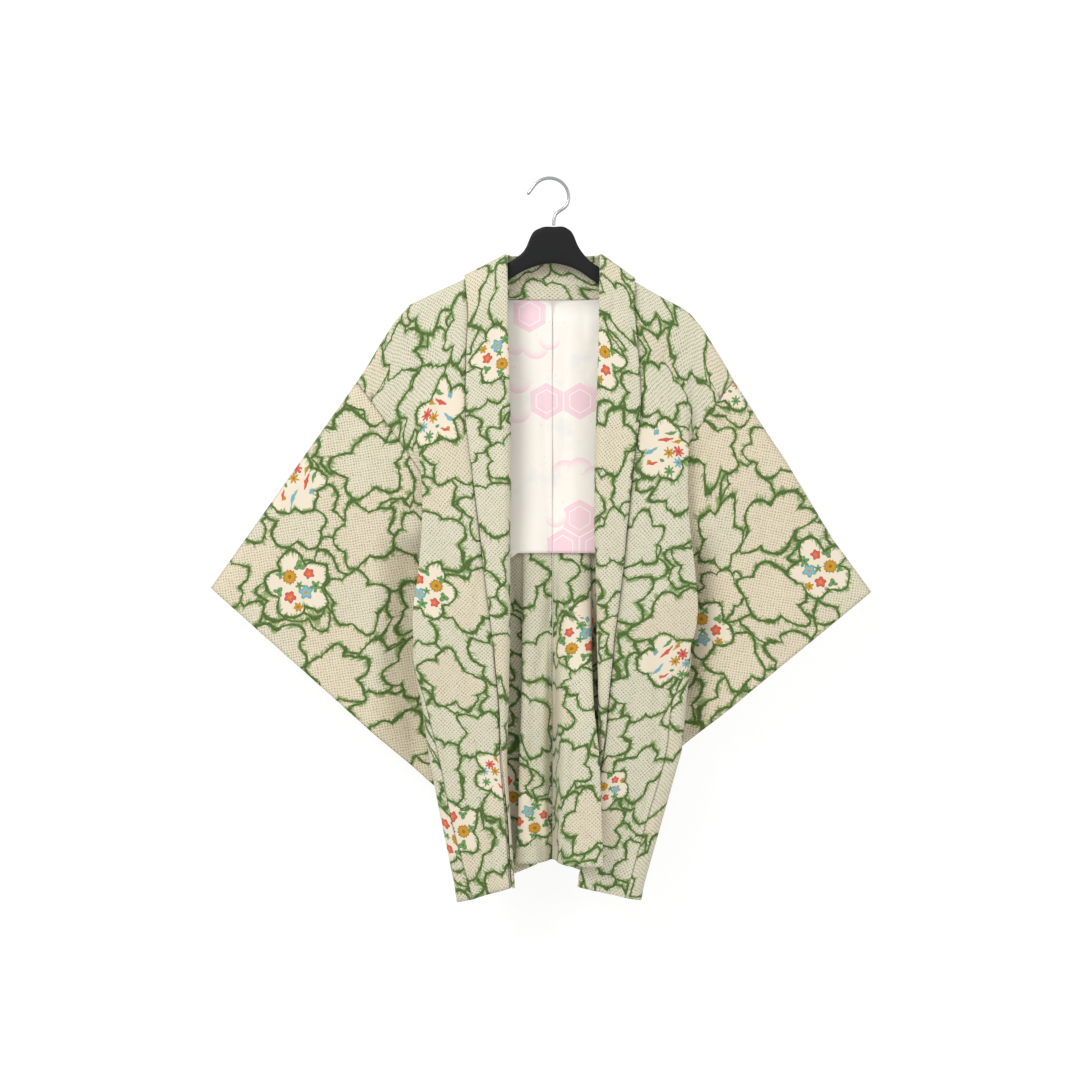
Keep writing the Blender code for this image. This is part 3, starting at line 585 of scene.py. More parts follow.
def edge_distance(flat, *edges):
    """Distance in mm from the sewn edges of a grid: left and right are its first and last
    columns, top and bottom its first and last rows."""
    across, down = flat[..., 0], flat[..., 1]
    gaps = {"left": across - across[:, :1], "right": across[:, -1:] - across,
            "top": down - down[:1], "bottom": down[-1:] - down}
    return np.minimum.reduce([gaps[e] for e in edges])


def grid_piece(name, node, grid, side, *edges, **settings):
    """A sheet that is one grid on one side of the jacket."""
    flat = flat_coordinates(grid)
    return cloth_piece(name, node, to_space(grid, side),
                       quads(*grid.shape[:2], flip=side == "left"), flat,
                       edge_distance(flat, *edges), **settings)


# %% [markdown]
# ## The body
#
# A haori's body is two lengths of cloth, one for each side. Each runs from the front hem up over
# the shoulder and down to the back hem, and the two are sewn together down the middle of the
# back. Nothing is cut at the shoulder, so the print runs on from front to back there.

# %% The two body lengths
def make_body(side):
    """The back's grid and the front's, joined along the shoulder: the front's first row is the
    back's own top row beyond the neck. Flat heights are below 0 on the back."""
    points, flats, seams = [], [], []
    for face, start, first, sign in (("back", NECK_CLOTH, 0, -1), ("front", 0.0, 1, 1)):
        grid = GRIDS[side, face]
        flat = flat_coordinates(grid, start)
        points.append(to_space(with_relief(grid, side, face)[first:], side))
        flats.append((flat[first:] * [1, sign]).reshape(-1, 2))
        seams.append(edge_distance(flat, "left", "right")[first:].reshape(-1))
    rows_b, cols_b = GRIDS[side, "back"].shape[:2]
    base = rows_b * cols_b
    a = NECK_COLS + np.arange(FRONT_COLS - 1)
    b = base + np.arange(FRONT_COLS - 1)
    faces = np.concatenate([quads(rows_b, cols_b, flip=True),
                            np.stack([a, a + 1, b + 1, b], -1),
                            quads(len(GRIDS[side, "front"]) - 1, FRONT_COLS, base)])
    return cloth_piece(f"cloth_body_{side}", f"body_{side}", np.concatenate(points),
                       faces[:, ::-1] if side == "left" else faces, np.concatenate(flats),
                       np.concatenate(seams))


BODY = {side: make_body(side) for side in SIDES}

# %% [markdown]
# ## The sleeves
#
# A haori's sleeve is one length folded along its top and sewn down its bottom: a flat pouch
# 33 cm wide and 49 cm deep. Only its upper half is sewn to the body, and only the lower half of
# its cuff is sewn shut, which leaves the opening for the hand. On a hanger it swings out, and
# its inner corner hides behind the body. That corner is left short here, so the pouch's bottom
# is narrower than its top.

# %% The two sleeves
SLEEVE_COLS = 64
SLEEVE_ROWS = 84
HANG = 7.5                      # half of the pouch's thickness at the armhole
FOLD_SHARE = 0.05               # share of the pouch's depth in which it thins to a fold
HANG_BACK = 8.0                 # how far the pouch swings to the wall side of the shoulder
TUCK_BACK = 25.0                # and how much farther its lower inner corner, behind the body
CUFF_SEWN = 230.0               # from here down, in cloth, the cuff is sewn
SEAM_STEP = 1.5                 # print lost in a seam that closes the cuff or the bottom


def sleeve_frame(side, p, q):
    """The pouch's middle surface: p runs along the top fold from armhole to cuff, q down its
    depth. Each point is the weighted mean of the inner edge and the cuff at the same q, plus
    the top fold's own bow, which dies away as q grows."""
    top = np.asarray(SLEEVE_TOP[side], float)
    run = run_lengths(top)
    t = np.stack([np.interp(p * run[-1], run, top[:, k]) for k in (0, 1)], -1)
    hole, free, inner, cuff = (np.array(c, float) for c in SLEEVE_IN[side])
    shoulder, tip = top[0], top[-1]
    seam = GRIDS[side, "front"][:, -1][:, [0, 2]]
    seam = seam[seam[:, 1] < hole[1] - 8]
    length = np.linalg.norm(seam - shoulder, axis=1) / np.linalg.norm(hole - shoulder)
    stops = [*(length * ARMHOLE_SHARE), ARMHOLE_SHARE, ARMHOLE_SHARE + 0.13, 1]
    line = np.concatenate([seam, [hole, free, inner]])
    edge = np.stack([np.interp(q, stops, line[:, k]) for k in (0, 1)], -1)
    p, q = p[..., None], q[..., None]
    far = tip + (cuff - tip) * q
    place = edge * (1 - p) + far * p + (t - (shoulder + (tip - shoulder) * p)) * (1 - q)
    out, down = place[..., 0], place[..., 1]
    behind = TUCK_BACK * ease((down - 448) / 55) * ease((235 - out) / 60)
    return out, down, HANG_BACK * np.clip(p[..., 0] * 1.5, 0, 1) + behind


def thinned(share):
    """0 at a fold, and 1 once share is FOLD_SHARE: sqrt(1 - (1 - share / FOLD_SHARE)^2)."""
    return np.sqrt(1 - (1 - np.clip(share / FOLD_SHARE, 0, 1)) ** 2)


def sleeve_layer(side, face):
    """One layer of a pouch. It stands half a thickness from the middle surface, thinned to a
    fold at the top and the bottom."""
    p, q = np.meshgrid(np.linspace(0, 1, SLEEVE_COLS), np.linspace(0, 1, SLEEVE_ROWS) ** 1.05)
    out, down, y = sleeve_frame(side, p, q)
    thin = thinned(q) * thinned(1 - q)
    half = HANG + (SLEEVE_GAP / 2 - HANG) * p + 2 * np.sin(math.pi * p) * np.sin(math.pi * q)
    sign = -1.0 if face == "front" else 1.0
    g = np.stack([out, y + sign * half * (0.12 + 0.88 * thin), down], -1)
    if face == "front":         # along the armhole it stands further out, over the body's seam
        sewn = np.clip(q / 0.5, 0, 1) * (q < ARMHOLE_SHARE + 0.01)
        g[..., 1] -= 1.6 * sewn * (1 - ease(p / 0.06))
    g[:, 0, 0] -= 0.4
    g[..., 1] += thin * ease(q / 0.08) * relief(side, face, out, down)
    return g, q


def fold_coordinates(loop):
    """Print coordinates in mm. A sleeve was cut square to its fold, so they run along the fold
    and square to it, less than 0 on the back layer."""
    top = loop[SLEEVE_ROWS - 1]
    along = (top[-1] - top[0])[[0, 2]]
    along /= np.linalg.norm(along)
    place = (loop - top[0])[..., [0, 2]]
    drop = place @ [-along[1], along[0]]
    drop = np.abs(drop - drop[SLEEVE_ROWS - 1])
    drop[:SLEEVE_ROWS - 1] *= -1
    return np.stack([place @ along, drop], -1)


def make_sleeve(side):
    """The pouch: a grid from the bottom up the back and down the front, and two strips of faces
    that close its bottom and the sewn half of its cuff."""
    front, q = sleeve_layer(side, "front")
    back, _ = sleeve_layer(side, "back")
    loop = np.concatenate([back[::-1], front[1:]])
    rows, cols = loop.shape[:2]
    k = np.nonzero(q[:, -1] >= WRIST_SHARE)[0][:-1]
    f = (SLEEVE_ROWS - 1 + k) * cols + cols - 1           # front cuff edge, at each sewn row
    b = (SLEEVE_ROWS - 1 - k) * cols + cols - 1
    j = np.arange(cols - 1)
    last = (rows - 1) * cols + j
    # each closing strip by its four corners, the two on the front layer first
    cuff, bottom = (f, f + cols, b - cols, b), (last, last + 1, j + 1, j)
    extra = np.concatenate([np.stack(cuff, -1)[:, [0, 3, 2, 1]], np.stack(bottom, -1)])
    # a closing face takes both edges' print from the front layer, one step apart
    uv = fold_coordinates(loop).reshape(-1, 2)
    mate = np.arange(len(uv))
    for f1, f2, b2, b1 in (cuff, bottom):
        mate[b1], mate[b2] = f1, f2
    corners = uv[mate[extra]] + SEAM_STEP * (mate[extra] != extra)[..., None]
    faces = quads(rows, cols, flip=side == "left")
    if side == "left":
        extra, corners = extra[:, ::-1], corners[:, ::-1]
    flat = flat_coordinates(loop)
    flat[..., 1] -= flat[SLEEVE_ROWS - 1, 0, 1]
    sewn_cuff = np.where(np.abs(flat[..., 1]) > CUFF_SEWN, edge_distance(flat, "right"), 99)
    return cloth_piece(f"cloth_sleeve_{side}", f"sleeve_{side}", to_space(loop, side),
                       np.concatenate([faces, extra]), np.concatenate([uv[faces], corners]),
                       np.minimum(edge_distance(flat, "left", "top", "bottom"), sewn_cuff))


SLEEVE = {side: make_sleeve(side) for side in SIDES}

# %% [markdown]
# ## The side gussets
#
# Under each arm a haori has a narrow wedge, widest at the hem, set between the front and the
# back. It lets the jacket flare over a kimono. On the hanger it bends round the body's edge.

# %% The two gussets
GUSSET_ROWS = 84
GUSSET_COLS = 22
GUSSET_SAG = 7.0                # how far the outer bend's hem hangs below the seams' ends


def make_gusset(side):
    """Each row of the wedge is a spline from the front's seam round the outer bend and back to
    the back's seam, each end 0.1 mm clear of its neighbour."""
    f, b = (g[:, -1] + 0.1 * unit(g[:, -1] - g[:, -2])
            for g in (GRIDS[side, face][-GUSSET_ROWS:] for face in ("front", "back")))
    middle = 0.5 * (f[:, 2] + b[:, 2])
    edge = line_at(GUSSET_EDGE[side], middle)
    middle = middle + GUSSET_SAG * ease(np.linspace(-22, 1, GUSSET_ROWS))
    t = np.linspace(0, 1, GUSSET_COLS)
    c = np.stack([f, np.stack([edge, f[:, 1] + 1, middle], 1),
                  np.stack([edge, b[:, 1] - 1, middle], 1), b], 1)
    g = np.stack([spline(row, t) for row in c])
    share = ease(t)
    out, down = g[..., 0], g[..., 2]
    g[..., 1] += ((1 - share) * relief(side, "front", out, down)
                  + share * relief(side, "back", out, down))
    return grid_piece(f"cloth_gusset_{side}", f"gusset_{side}", g, side, "left", "right")


GUSSET = {side: make_gusset(side) for side in SIDES}

# %% [markdown]
# ## The collar
#
# The collar is one long band folded lengthwise. Its inner half is sewn to the front edge and the
# back neck, and its outer half lies over that seam. On a haori it is turned outwards at the back
# of the neck and runs down to both hems. Each section here goes from the seam to the fold and
# back to the free edge.

# %% The collar band
COLLAR_HALF_COLS = 18
# The turn outwards at the shoulder: (fall below the crest, depth of the fold, lean outwards)
NECK_TURN = ((0, 0, 1), (2, 5.8, 0.95), (8, 8.6, 0.8), (25, 11.5, 0.5), (49, 20, 0))
TURN_FALLS = (36, 25, 16, 8, 4, 2, 0.8, 0)      # a section at each of these falls


def collar_section(inner, outward):
    """A folded section. inner is its line from the fold to the seam and outward the way to its
    outer side: seam to fold, three points round the fold, and back, COLLAR_LIFT further out."""
    tip = unit(inner[0] - inner[1])
    a = np.radians([-60, -30, 0, 30, 60])[:, None]
    turn = inner[0] + COLLAR_LIFT * (0.5 * np.cos(a) * tip + 0.5 * (1 + np.sin(a)) * outward[0])
    return np.concatenate([inner[::-1], turn, inner + outward * COLLAR_LIFT])


def neck_section(ends, outward):
    """A straight section from the fold to the seam, lifted on its outward side."""
    fold, seam = ends
    down = unit(seam - fold)
    inner = fold + (seam - 0.8 * down - fold) * np.linspace(0, 1, COLLAR_HALF_COLS)[:, None]
    out = np.array(outward, float)
    out = unit(out - (out @ down) * down)
    return collar_section(inner, np.tile(out, (COLLAR_HALF_COLS, 1)))


def collar_rows(side):
    """One side's sections, from the hem up and round to the centre back."""
    rows = []
    for line in LINES[side][::-1]:
        inner = columns(line, 0, COLLAR_HALF - SEAM_HALF, COLLAR_HALF_COLS)
        inner[:, 1] += relief(side, "front", inner[:, 0], inner[:, 2])
        tangent = np.gradient(inner, axis=0)
        rows.append(collar_section(inner, unit(tangent[:, [1, 0, 2]] * [1, -1, 0])))

    def neck_ends(share):
        return np.concatenate([curve(side, [share]) for curve in (collar_fold, neck_line)])

    first = columns(LINES[side][0], 0, COLLAR_HALF, 2)
    crest = neck_ends(0.0)
    falls, depths, leans = zip(*NECK_TURN)
    for fall in TURN_FALLS:
        depth, lean = np.interp(fall, falls, depths), np.interp(fall, falls, leans)
        ends = crest + [0, 0, fall]
        ends[:, 0] += (first - crest)[:, 0] * (1 - lean)
        ends[:, 1] = -depth
        rows.append(neck_section(ends, [0, -math.sin(math.pi / 2 * (1 - lean)) - 0.1, -lean]))
    for share in np.linspace(0, 1, 26)[1:]:
        angle = math.pi / 2 * min(share / 0.45, 1.0)
        rows.append(neck_section(neck_ends(share), [0.25 * math.sin(2 * angle), math.sin(angle),
                                                    -math.cos(angle)]))
    return np.stack(rows)


right, left = collar_rows("right"), collar_rows("left")
COLLAR = grid_piece("cloth_collar", "collar",
                    np.concatenate([right, left[-2::-1] * [-1, 1, 1]]), "right", "left")

# %% [markdown]
# ## The back lining
#
# Only the upper back of an unlined-looking haori carries a lining: two widths of smooth silk
# sewn in at the neck, with a free lower edge. It lies a few millimetres in front of the back.

# %% The two lining halves
LINING_COLS = 40
LINING_EDGE = {"right": 62.0, "left": 72.0}
LINING_SAG = {"right": 6.0, "left": 0.0}        # a corner whose stitches have let go
LINING_LOOSE = 41.0             # out from here that corner hangs loose
NECK_ROWS = 8                   # the back's first rows, which bend over the hanger
NECK_CLEAR = 26.0               # the lining's rows below its neck seam start this far down


def make_lining(side):
    """The back's grid, thinned to the columns x and moved LINING_LIFT square to the cloth, from
    the neck seam down to the free edge."""
    grid = with_relief(GRIDS[side, "back"], side, "back")
    x = np.linspace(CENTRE_X * SIDES[side] + 0.1, LINING_EDGE[side], LINING_COLS)
    rows = []
    for row in grid:
        y = np.minimum.accumulate(np.interp(x, row[:, 0], row[:, 1]))
        z = np.interp(x, row[:, 0], row[:, 2])
        rows.append(np.stack([x, y - LINING_LIFT * np.sqrt(1 + np.gradient(y, x) ** 2), z], 1))
    g = np.stack(rows)[NECK_ROWS:]
    heights = g[:, :, 2].mean(1)
    g = g[(heights > HEIGHT_NECK + NECK_CLEAR) & (heights < LINING_DOWN)]
    g = np.concatenate([g[:1], g])
    g[-1, :, 2] = LINING_DOWN + LINING_SAG[side] * ease((x - LINING_LOOSE) / 9)
    neck = neck_line(side, np.linspace(1, 0, LINING_COLS))
    for axis, clear in ((1, 1.2), (2, 1.0)):
        g[0, :, axis] = np.interp(x, neck[:, 0], neck[:, axis]) - clear
    return grid_piece(f"silk_lining_{side}", f"lining_{side}", g, side, "left", "top",
                      wall=0.6 * MM)


LINING = {side: make_lining(side) for side in SIDES}

# %% [markdown]
# ## Shader building blocks
#
# Everything printed or woven here is drawn by nodes from the cloth's flat coordinates, so no
# picture is needed. A wire stands for a node's output, and a sum of wires makes the nodes for
# it, so a formula can be written as it would be on paper.

# %% Wires and nodes
TREES = []                      # the node tree in work is the last one
NONE = (0.0, 0.0, 0.0)
MIDDLE = (0.5, 0.5, 0.5)


def srgb(r, g, b):
    """A colour picked as 0 to 255 steps, as the linear values that a shader expects."""
    c = np.array([r, g, b]) / 255
    return tuple(np.where(c <= 0.04045, c / 12.92, ((c + 0.055) / 1.055) ** 2.4)) + (1.0,)


def plug(socket, value):
    """Feeds a socket: with a wire, or with a number or colour of its own."""
    if isinstance(value, Wire):
        TREES[-1].links.new(value.socket, socket)
    elif value is not None:
        socket.default_value = value


def node(kind, *inputs, output=0, **settings):
    """A new node's output. The inputs fill its sockets in order. A setting fills the socket of
    that name, or is a property of the node."""
    n = TREES[-1].nodes.new("ShaderNode" + kind)
    for key, value in settings.items():
        if key in n.inputs:
            plug(n.inputs[key], value)
        else:
            setattr(n, key, value)
    for socket, value in zip(n.inputs, inputs):
        plug(socket, value)
    return Wire(n.outputs[output])


def maths(operation, *terms):
    """A Math node, or a Vector Math node if any term is a vector."""
    if any(isinstance(t, tuple) or isinstance(t, Wire) and t.is_vector for t in terms):
        terms = [(t, t, t) if isinstance(t, (int, float)) else t for t in terms]
        return node("VectorMath", *terms, operation=operation)
    return node("Math", *terms, operation=operation)


class Wire:
    """A node's output, which can stand in a sum: each operator below makes a node."""

    def __init__(self, socket):
        self.socket = socket
        self.is_vector = socket.type in ("VECTOR", "RGBA")

    def __abs__(self):
        return maths("ABSOLUTE", self)


for name, operation in (("add", "ADD"), ("sub", "SUBTRACT"), ("mul", "MULTIPLY"),
                        ("truediv", "DIVIDE")):
    setattr(Wire, f"__{name}__", lambda a, b, kind=operation: maths(kind, a, b))
    setattr(Wire, f"__r{name}__", lambda a, b, kind=operation: maths(kind, b, a))


def either(a, b):
    """The larger of two, which joins two masks."""
    return maths("MAXIMUM", a, b)


def above(a, b):
    """1 where a is greater than b, or else 0."""
    return maths("GREATER_THAN", a, b)


def xyz(x, y, z=0.0):
    """A vector from three numbers."""
    return node("CombineXYZ", x, y, z)


def outputs_of(wire):
    """All the outputs of a wire's node."""
    return [Wire(s) for s in wire.socket.node.outputs]


def split(vector):
    """The three numbers of a vector."""
    return outputs_of(node("SeparateXYZ", vector))


def length(vector):
    """The length of a vector."""
    return node("VectorMath", vector, operation="LENGTH", output=1)


def fraction(vector):
    """What is left of each part of a vector after its whole number, from 0 to 1."""
    return maths("FRACTION", vector)


def ramp(value, low, high):
    """0 at low, 1 at high (low may be the larger), eased between."""
    return node("MapRange", value, low, high, 0.0, 1.0, interpolation_type="SMOOTHSTEP")


def mix(factor, a, b):
    """Colour a where factor is 0 and b where it is 1."""
    return node("Mix", factor, *[None] * 5, a, b, data_type="RGBA", output=2)


def noise(vector, scale, detail=2.0, output=0):
    """Soft noise, about 0.5. Output 1 is a colour: three such numbers at once."""
    return node("TexNoise", Vector=vector, Scale=scale, Detail=detail, output=output)


def shaken(vector, at, scale, detail, reach):
    """vector moved along x and y by the noise at a place, whose full swing is reach."""
    return (noise(at, scale, detail, output=1) - MIDDLE) * (reach, reach, 0.0) + vector


def turned(vector, angle):
    """vector turned by angle about Z."""
    return node("VectorRotate", Vector=vector, Angle=angle, rotation_type="Z_AXIS")


def bump(height, strength, distance):
    """Normals of a surface raised by height times distance, in metres."""
    return node("Bump", Height=height, Strength=strength, Distance=distance)


def node_group(outputs, **inputs):
    """Makes a node group of the function that follows, named after it. Each keyword is an input
    with its default, a number or a vector, and outputs names what the function returns. The
    function's name then stands for an instance of the group."""
    def make(build):
        tree = bpy.data.node_groups.new(build.__name__, "ShaderNodeTree")
        for name, default in inputs.items():
            kind = "Vector" if isinstance(default, tuple) else "Float"
            tree.interface.new_socket(name.replace("_", " "), in_out="INPUT",
                                      socket_type="NodeSocket" + kind).default_value = default
        TREES.append(tree)
        start = tree.nodes.new("NodeGroupInput")
        results = build(*(Wire(s) for s in start.outputs if s.name))
        for name, wire in zip(outputs.split(), results):
            kind = {"RGBA": "Color", "VALUE": "Float"}[wire.socket.type]
            tree.interface.new_socket(name, in_out="OUTPUT", socket_type="NodeSocket" + kind)
        end = tree.nodes.new("NodeGroupOutput")
        for socket, wire in zip(end.inputs, results):
            plug(socket, wire)
        TREES.pop()
        print("group:", tree.name, len(tree.nodes), "nodes")

        def instance(*values):
            first = node("Group", *values, node_tree=tree)
            return outputs_of(first) if len(results) > 1 else first
        return instance
    return make


# %% [markdown]
# ## A tie-dyed star
#
# The dyer stitches round a star, pulls the thread tight and dips the cloth. The green dye creeps
# into the gathers, so the outline comes out dark in the middle with fine hairs on both sides.
# The star's radius swings with the angle: R = 1 - 0.37 * (0.8 t + 0.2 t^2), where t runs from 0.12
# at a blunt point to 1 in a notch, five times round. The hairs are noise stretched along the
# radius.

# %% Group: one star
@node_group("Inside Line Core", Vector=NONE, Seed=0.0)
def tied_star(vector, seed):
    """Inside is 1 within the star, Line on its outline with the hairs, Core on its dark middle."""
    shift = xyz(seed * 37.0, seed * 91.0)
    v = shaken(vector, vector + shift, 1.5, 2.0, 0.46)
    x, y, _ = split(v)
    angle = maths("ARCTAN2", y, x)
    radius = length(xyz(x, y))
    sector = maths("FRACT", angle * (5 / (2 * math.pi)) + 10.5)
    t = either(abs(sector - 0.5) * 2.0, 0.12)
    edge = 1.0 - (t * 0.8 + t * t * 0.2) * 0.37
    d = (radius - edge) * 0.82
    hair = noise(xyz(angle * 17.0, radius * 2.5, seed * 53.0), 1.0, 1.0)
    width = noise(v + shift, 2.6, 1.0) * 0.050 + 0.012
    away = (noise(v, 18.0, 2.0) - 0.5) * 0.06 + abs(d)
    reach = ramp(hair, 0.42, 0.62) * 0.100 + width + 0.012
    return (ramp(d, 0.012, -0.012), ramp(away, reach, reach * 0.5),
            ramp(away - width, 0.018, -0.018))


# %% [markdown]
# ## Stars all over the cloth
#
# One star in each cell of a lattice would look like wallpaper, so the lattice itself is bent by
# slow noise. Two lattices in step put a star in every corner and middle of a square. Two more lie
# under them at other angles. An upper star hides the outlines under it, as on the dyed cloth,
# where the stars crowd and overlap.

# %% Group: one lattice of stars
@node_group("Line Core Tint", Vector=NONE, Cell=0.122, Turn=0.0, Shift=NONE, Line_in=0.0,
            Core_in=0.0, Tint_in=0.5)
def star_layer(vector, cell, turn, shift, line, core, tint):
    """Lays one lattice over the line, core and tint of those below it. Tint is a number of its
    own for each star, which sets the colour of its dots."""
    p = turned(vector / xyz(cell, cell, 1.0), turn) + shift
    chance = node("TexWhiteNoise", maths("FLOOR", p) + MIDDLE, output=1)
    rx, ry, rz = split(chance)
    local = fraction(p) - (0.5, 0.5, 0.0) - (chance - MIDDLE) * (0.12, 0.12, 0.0)
    size = ry * 0.045 + 0.350
    local = turned(local, rz * 6.283) / xyz(size, size * (rx * 0.16 + 0.84), 1.0)
    inside, own_line, own_core = tied_star(local, rx)
    keep = 1.0 - inside
    return (either(line * keep, own_line), either(core * keep, own_core),
            (rz - tint) * inside + tint)


# %% [markdown]
# ## The flower stars
#
# Here and there a star is left plain inside and filled with hand-painted flowers, maple leaves
# and wisps of cloud. A flower is a radius that swings with the angle, R = 1 - depth * (1 +
# cos(petals * angle)) / 2. A wisp is a bent line with a width that dies away to both ends.

# %% Groups: petals and wisps
@node_group("Mask Radius", Vector=NONE, Centre=NONE, Size=0.2, Petals=5.0, Depth=0.3, Turn=0.0)
def petals(vector, centre, size, count, depth, turn):
    """A flower's mask, and the distance from its middle with 1 at its edge."""
    x, y, _ = split(vector - centre)
    angle = maths("ARCTAN2", y, x) + turn
    edge = 1.0 - depth * (maths("COSINE", angle * count) * 0.5 + 0.5)
    radius = length(xyz(x, y)) / (edge * size)
    return ramp(radius, 1.1, 0.9), radius


@node_group("Mask", Vector=NONE, Centre=NONE, Length=0.3, Width=0.07, Bend=0.8, Turn=0.0)
def wisp(vector, centre, long, wide, bend, turn):
    """A wisp's mask: the band within its width of the line y = bend * x^2."""
    x, y, _ = split(turned(vector - centre, turn))
    along = x / long
    scallop = maths("COSINE", along * 9.0) * 0.16 + 0.84
    width = ramp(abs(along), 1.0, 0.2) * scallop * wide
    return (ramp(abs(y - x * x * bend) - width, -0.002, -0.022),)


# %% Group: the painted filling of a star
CORAL, BLUE, MUSTARD = srgb(220, 98, 84), srgb(132, 184, 192), srgb(204, 150, 46)
LEAF, GROUND = srgb(110, 156, 94), srgb(238, 227, 204)
# What a flower star holds: (colour, x, y, size, petals, depth, turn)
FLOWERS = ((LEAF, -0.50, 0.02, 0.17, 5, 0.45, 0.3), (LEAF, 0.52, 0.22, 0.15, 3, 0.5, 1.1),
           (LEAF, -0.02, -0.52, 0.17, 3, 0.5, 0.4), (MUSTARD, 0.24, -0.20, 0.21, 13, 0.16, 0.0),
           (BLUE, -0.24, 0.20, 0.21, 5, 0.30, 0.8), (CORAL, 0.20, 0.36, 0.18, 5, 0.30, 0.1),
           (CORAL, -0.30, -0.32, 0.16, 5, 0.30, 0.5), (LEAF, -0.05, 0.02, 0.12, 5, 0.5, 0.2),
           (MUSTARD, -0.04, 0.62, 0.14, 6, 0.35, 0.4), (LEAF, 0.50, -0.26, 0.13, 4, 0.5, 0.7))
LEAVES = ((LEAF, 0.12, 0.60, 0.17, 7, 0.55, 0.2), (BLUE, 0.42, 0.36, 0.17, 7, 0.5, 0.9),
          (MUSTARD, 0.16, 0.08, 0.17, 7, 0.5, 0.4), (CORAL, 0.46, 0.02, 0.18, 7, 0.5, 0.1),
          (MUSTARD, -0.45, 0.32, 0.06, 1, 0.0, 0.0), (LEAF, -0.06, 0.30, 0.06, 1, 0.0, 0.0))
# The wisps of a leaf star: (colour, x, y, length, width, bend, turn)
WISPS = ((BLUE, -0.40, 0.06, 0.34, 0.075, -0.9, 0.3), (CORAL, -0.36, 0.36, 0.24, 0.060, 0.4, 0.1),
         (CORAL, 0.10, -0.30, 0.34, 0.075, -0.5, 0.2),
         (MUSTARD, 0.46, -0.28, 0.26, 0.07, -1.2, 0.4),
         (LEAF, 0.28, -0.52, 0.28, 0.075, -0.8, 0.3), (BLUE, -0.18, -0.50, 0.15, 0.10, 0.5, 0.9))


def darker(colour, share):
    """A share of a colour's light."""
    return tuple(share * c for c in colour[:3]) + (1.0,)


@node_group("Color", Vector=NONE, Kind=0.0)
def star_filling(vector, kind):
    """The painted colour: the flowers where kind is 0, the leaves and wisps where it is 1."""
    v = shaken(vector, vector, 9.0, 1.0, 0.07)
    grain = noise(vector, 26.0, 2.0)
    filled = []
    for flowers, wisps in ((FLOWERS, ()), (LEAVES, WISPS)):
        colour = mix(grain * 0.3, GROUND, srgb(232, 212, 194))
        for paint, x, y, size, count, depth, turn in flowers:
            mask, radius = petals(v, (x, y, 0), size, float(count), depth, turn)
            deep = darker(paint, 0.55)
            heart = MUSTARD if paint in (BLUE, CORAL) and count == 5 else deep
            shade = mix(ramp(radius, 0.62, 1.05), paint, deep)
            colour = mix(mask, colour, mix(ramp(radius, 0.34, 0.22), shade, heart))
        for paint, x, y, long, wide, bend, turn in wisps:
            shade = mix(ramp(grain, 0.4, 0.65), paint, darker(paint, 0.75))
            colour = mix(wisp(v, (x, y, 0), long, wide, bend, turn), colour, shade)
        filled.append(colour)
    return (mix(kind, *filled),)


# %% [markdown]
# ## The dyed silk
#
# Between the outlines the cloth is covered with tiny tied dots, a little over 3 mm apart in
# staggered rows. Each was pinched and bound, so it stays cream and stands up a little, with a
# speck of dye in its middle. The dots' dye is brownish on some stars and grey-green on others.

# %% Group: the whole print
STAR_CELL = 0.122               # from star to star in one lattice, in metres
DOT_PITCH = 0.0035              # from dot to dot
# The lattices of stars, from the lowest: (turn, shift)
STAR_LAYERS = ((1.1, (0.31, 0.72, 3)), (2.0, (0.77, 0.18, 7)), (0.3, (0.00, 0.00, 11)),
               (0.3, (0.50, 0.50, 15)))


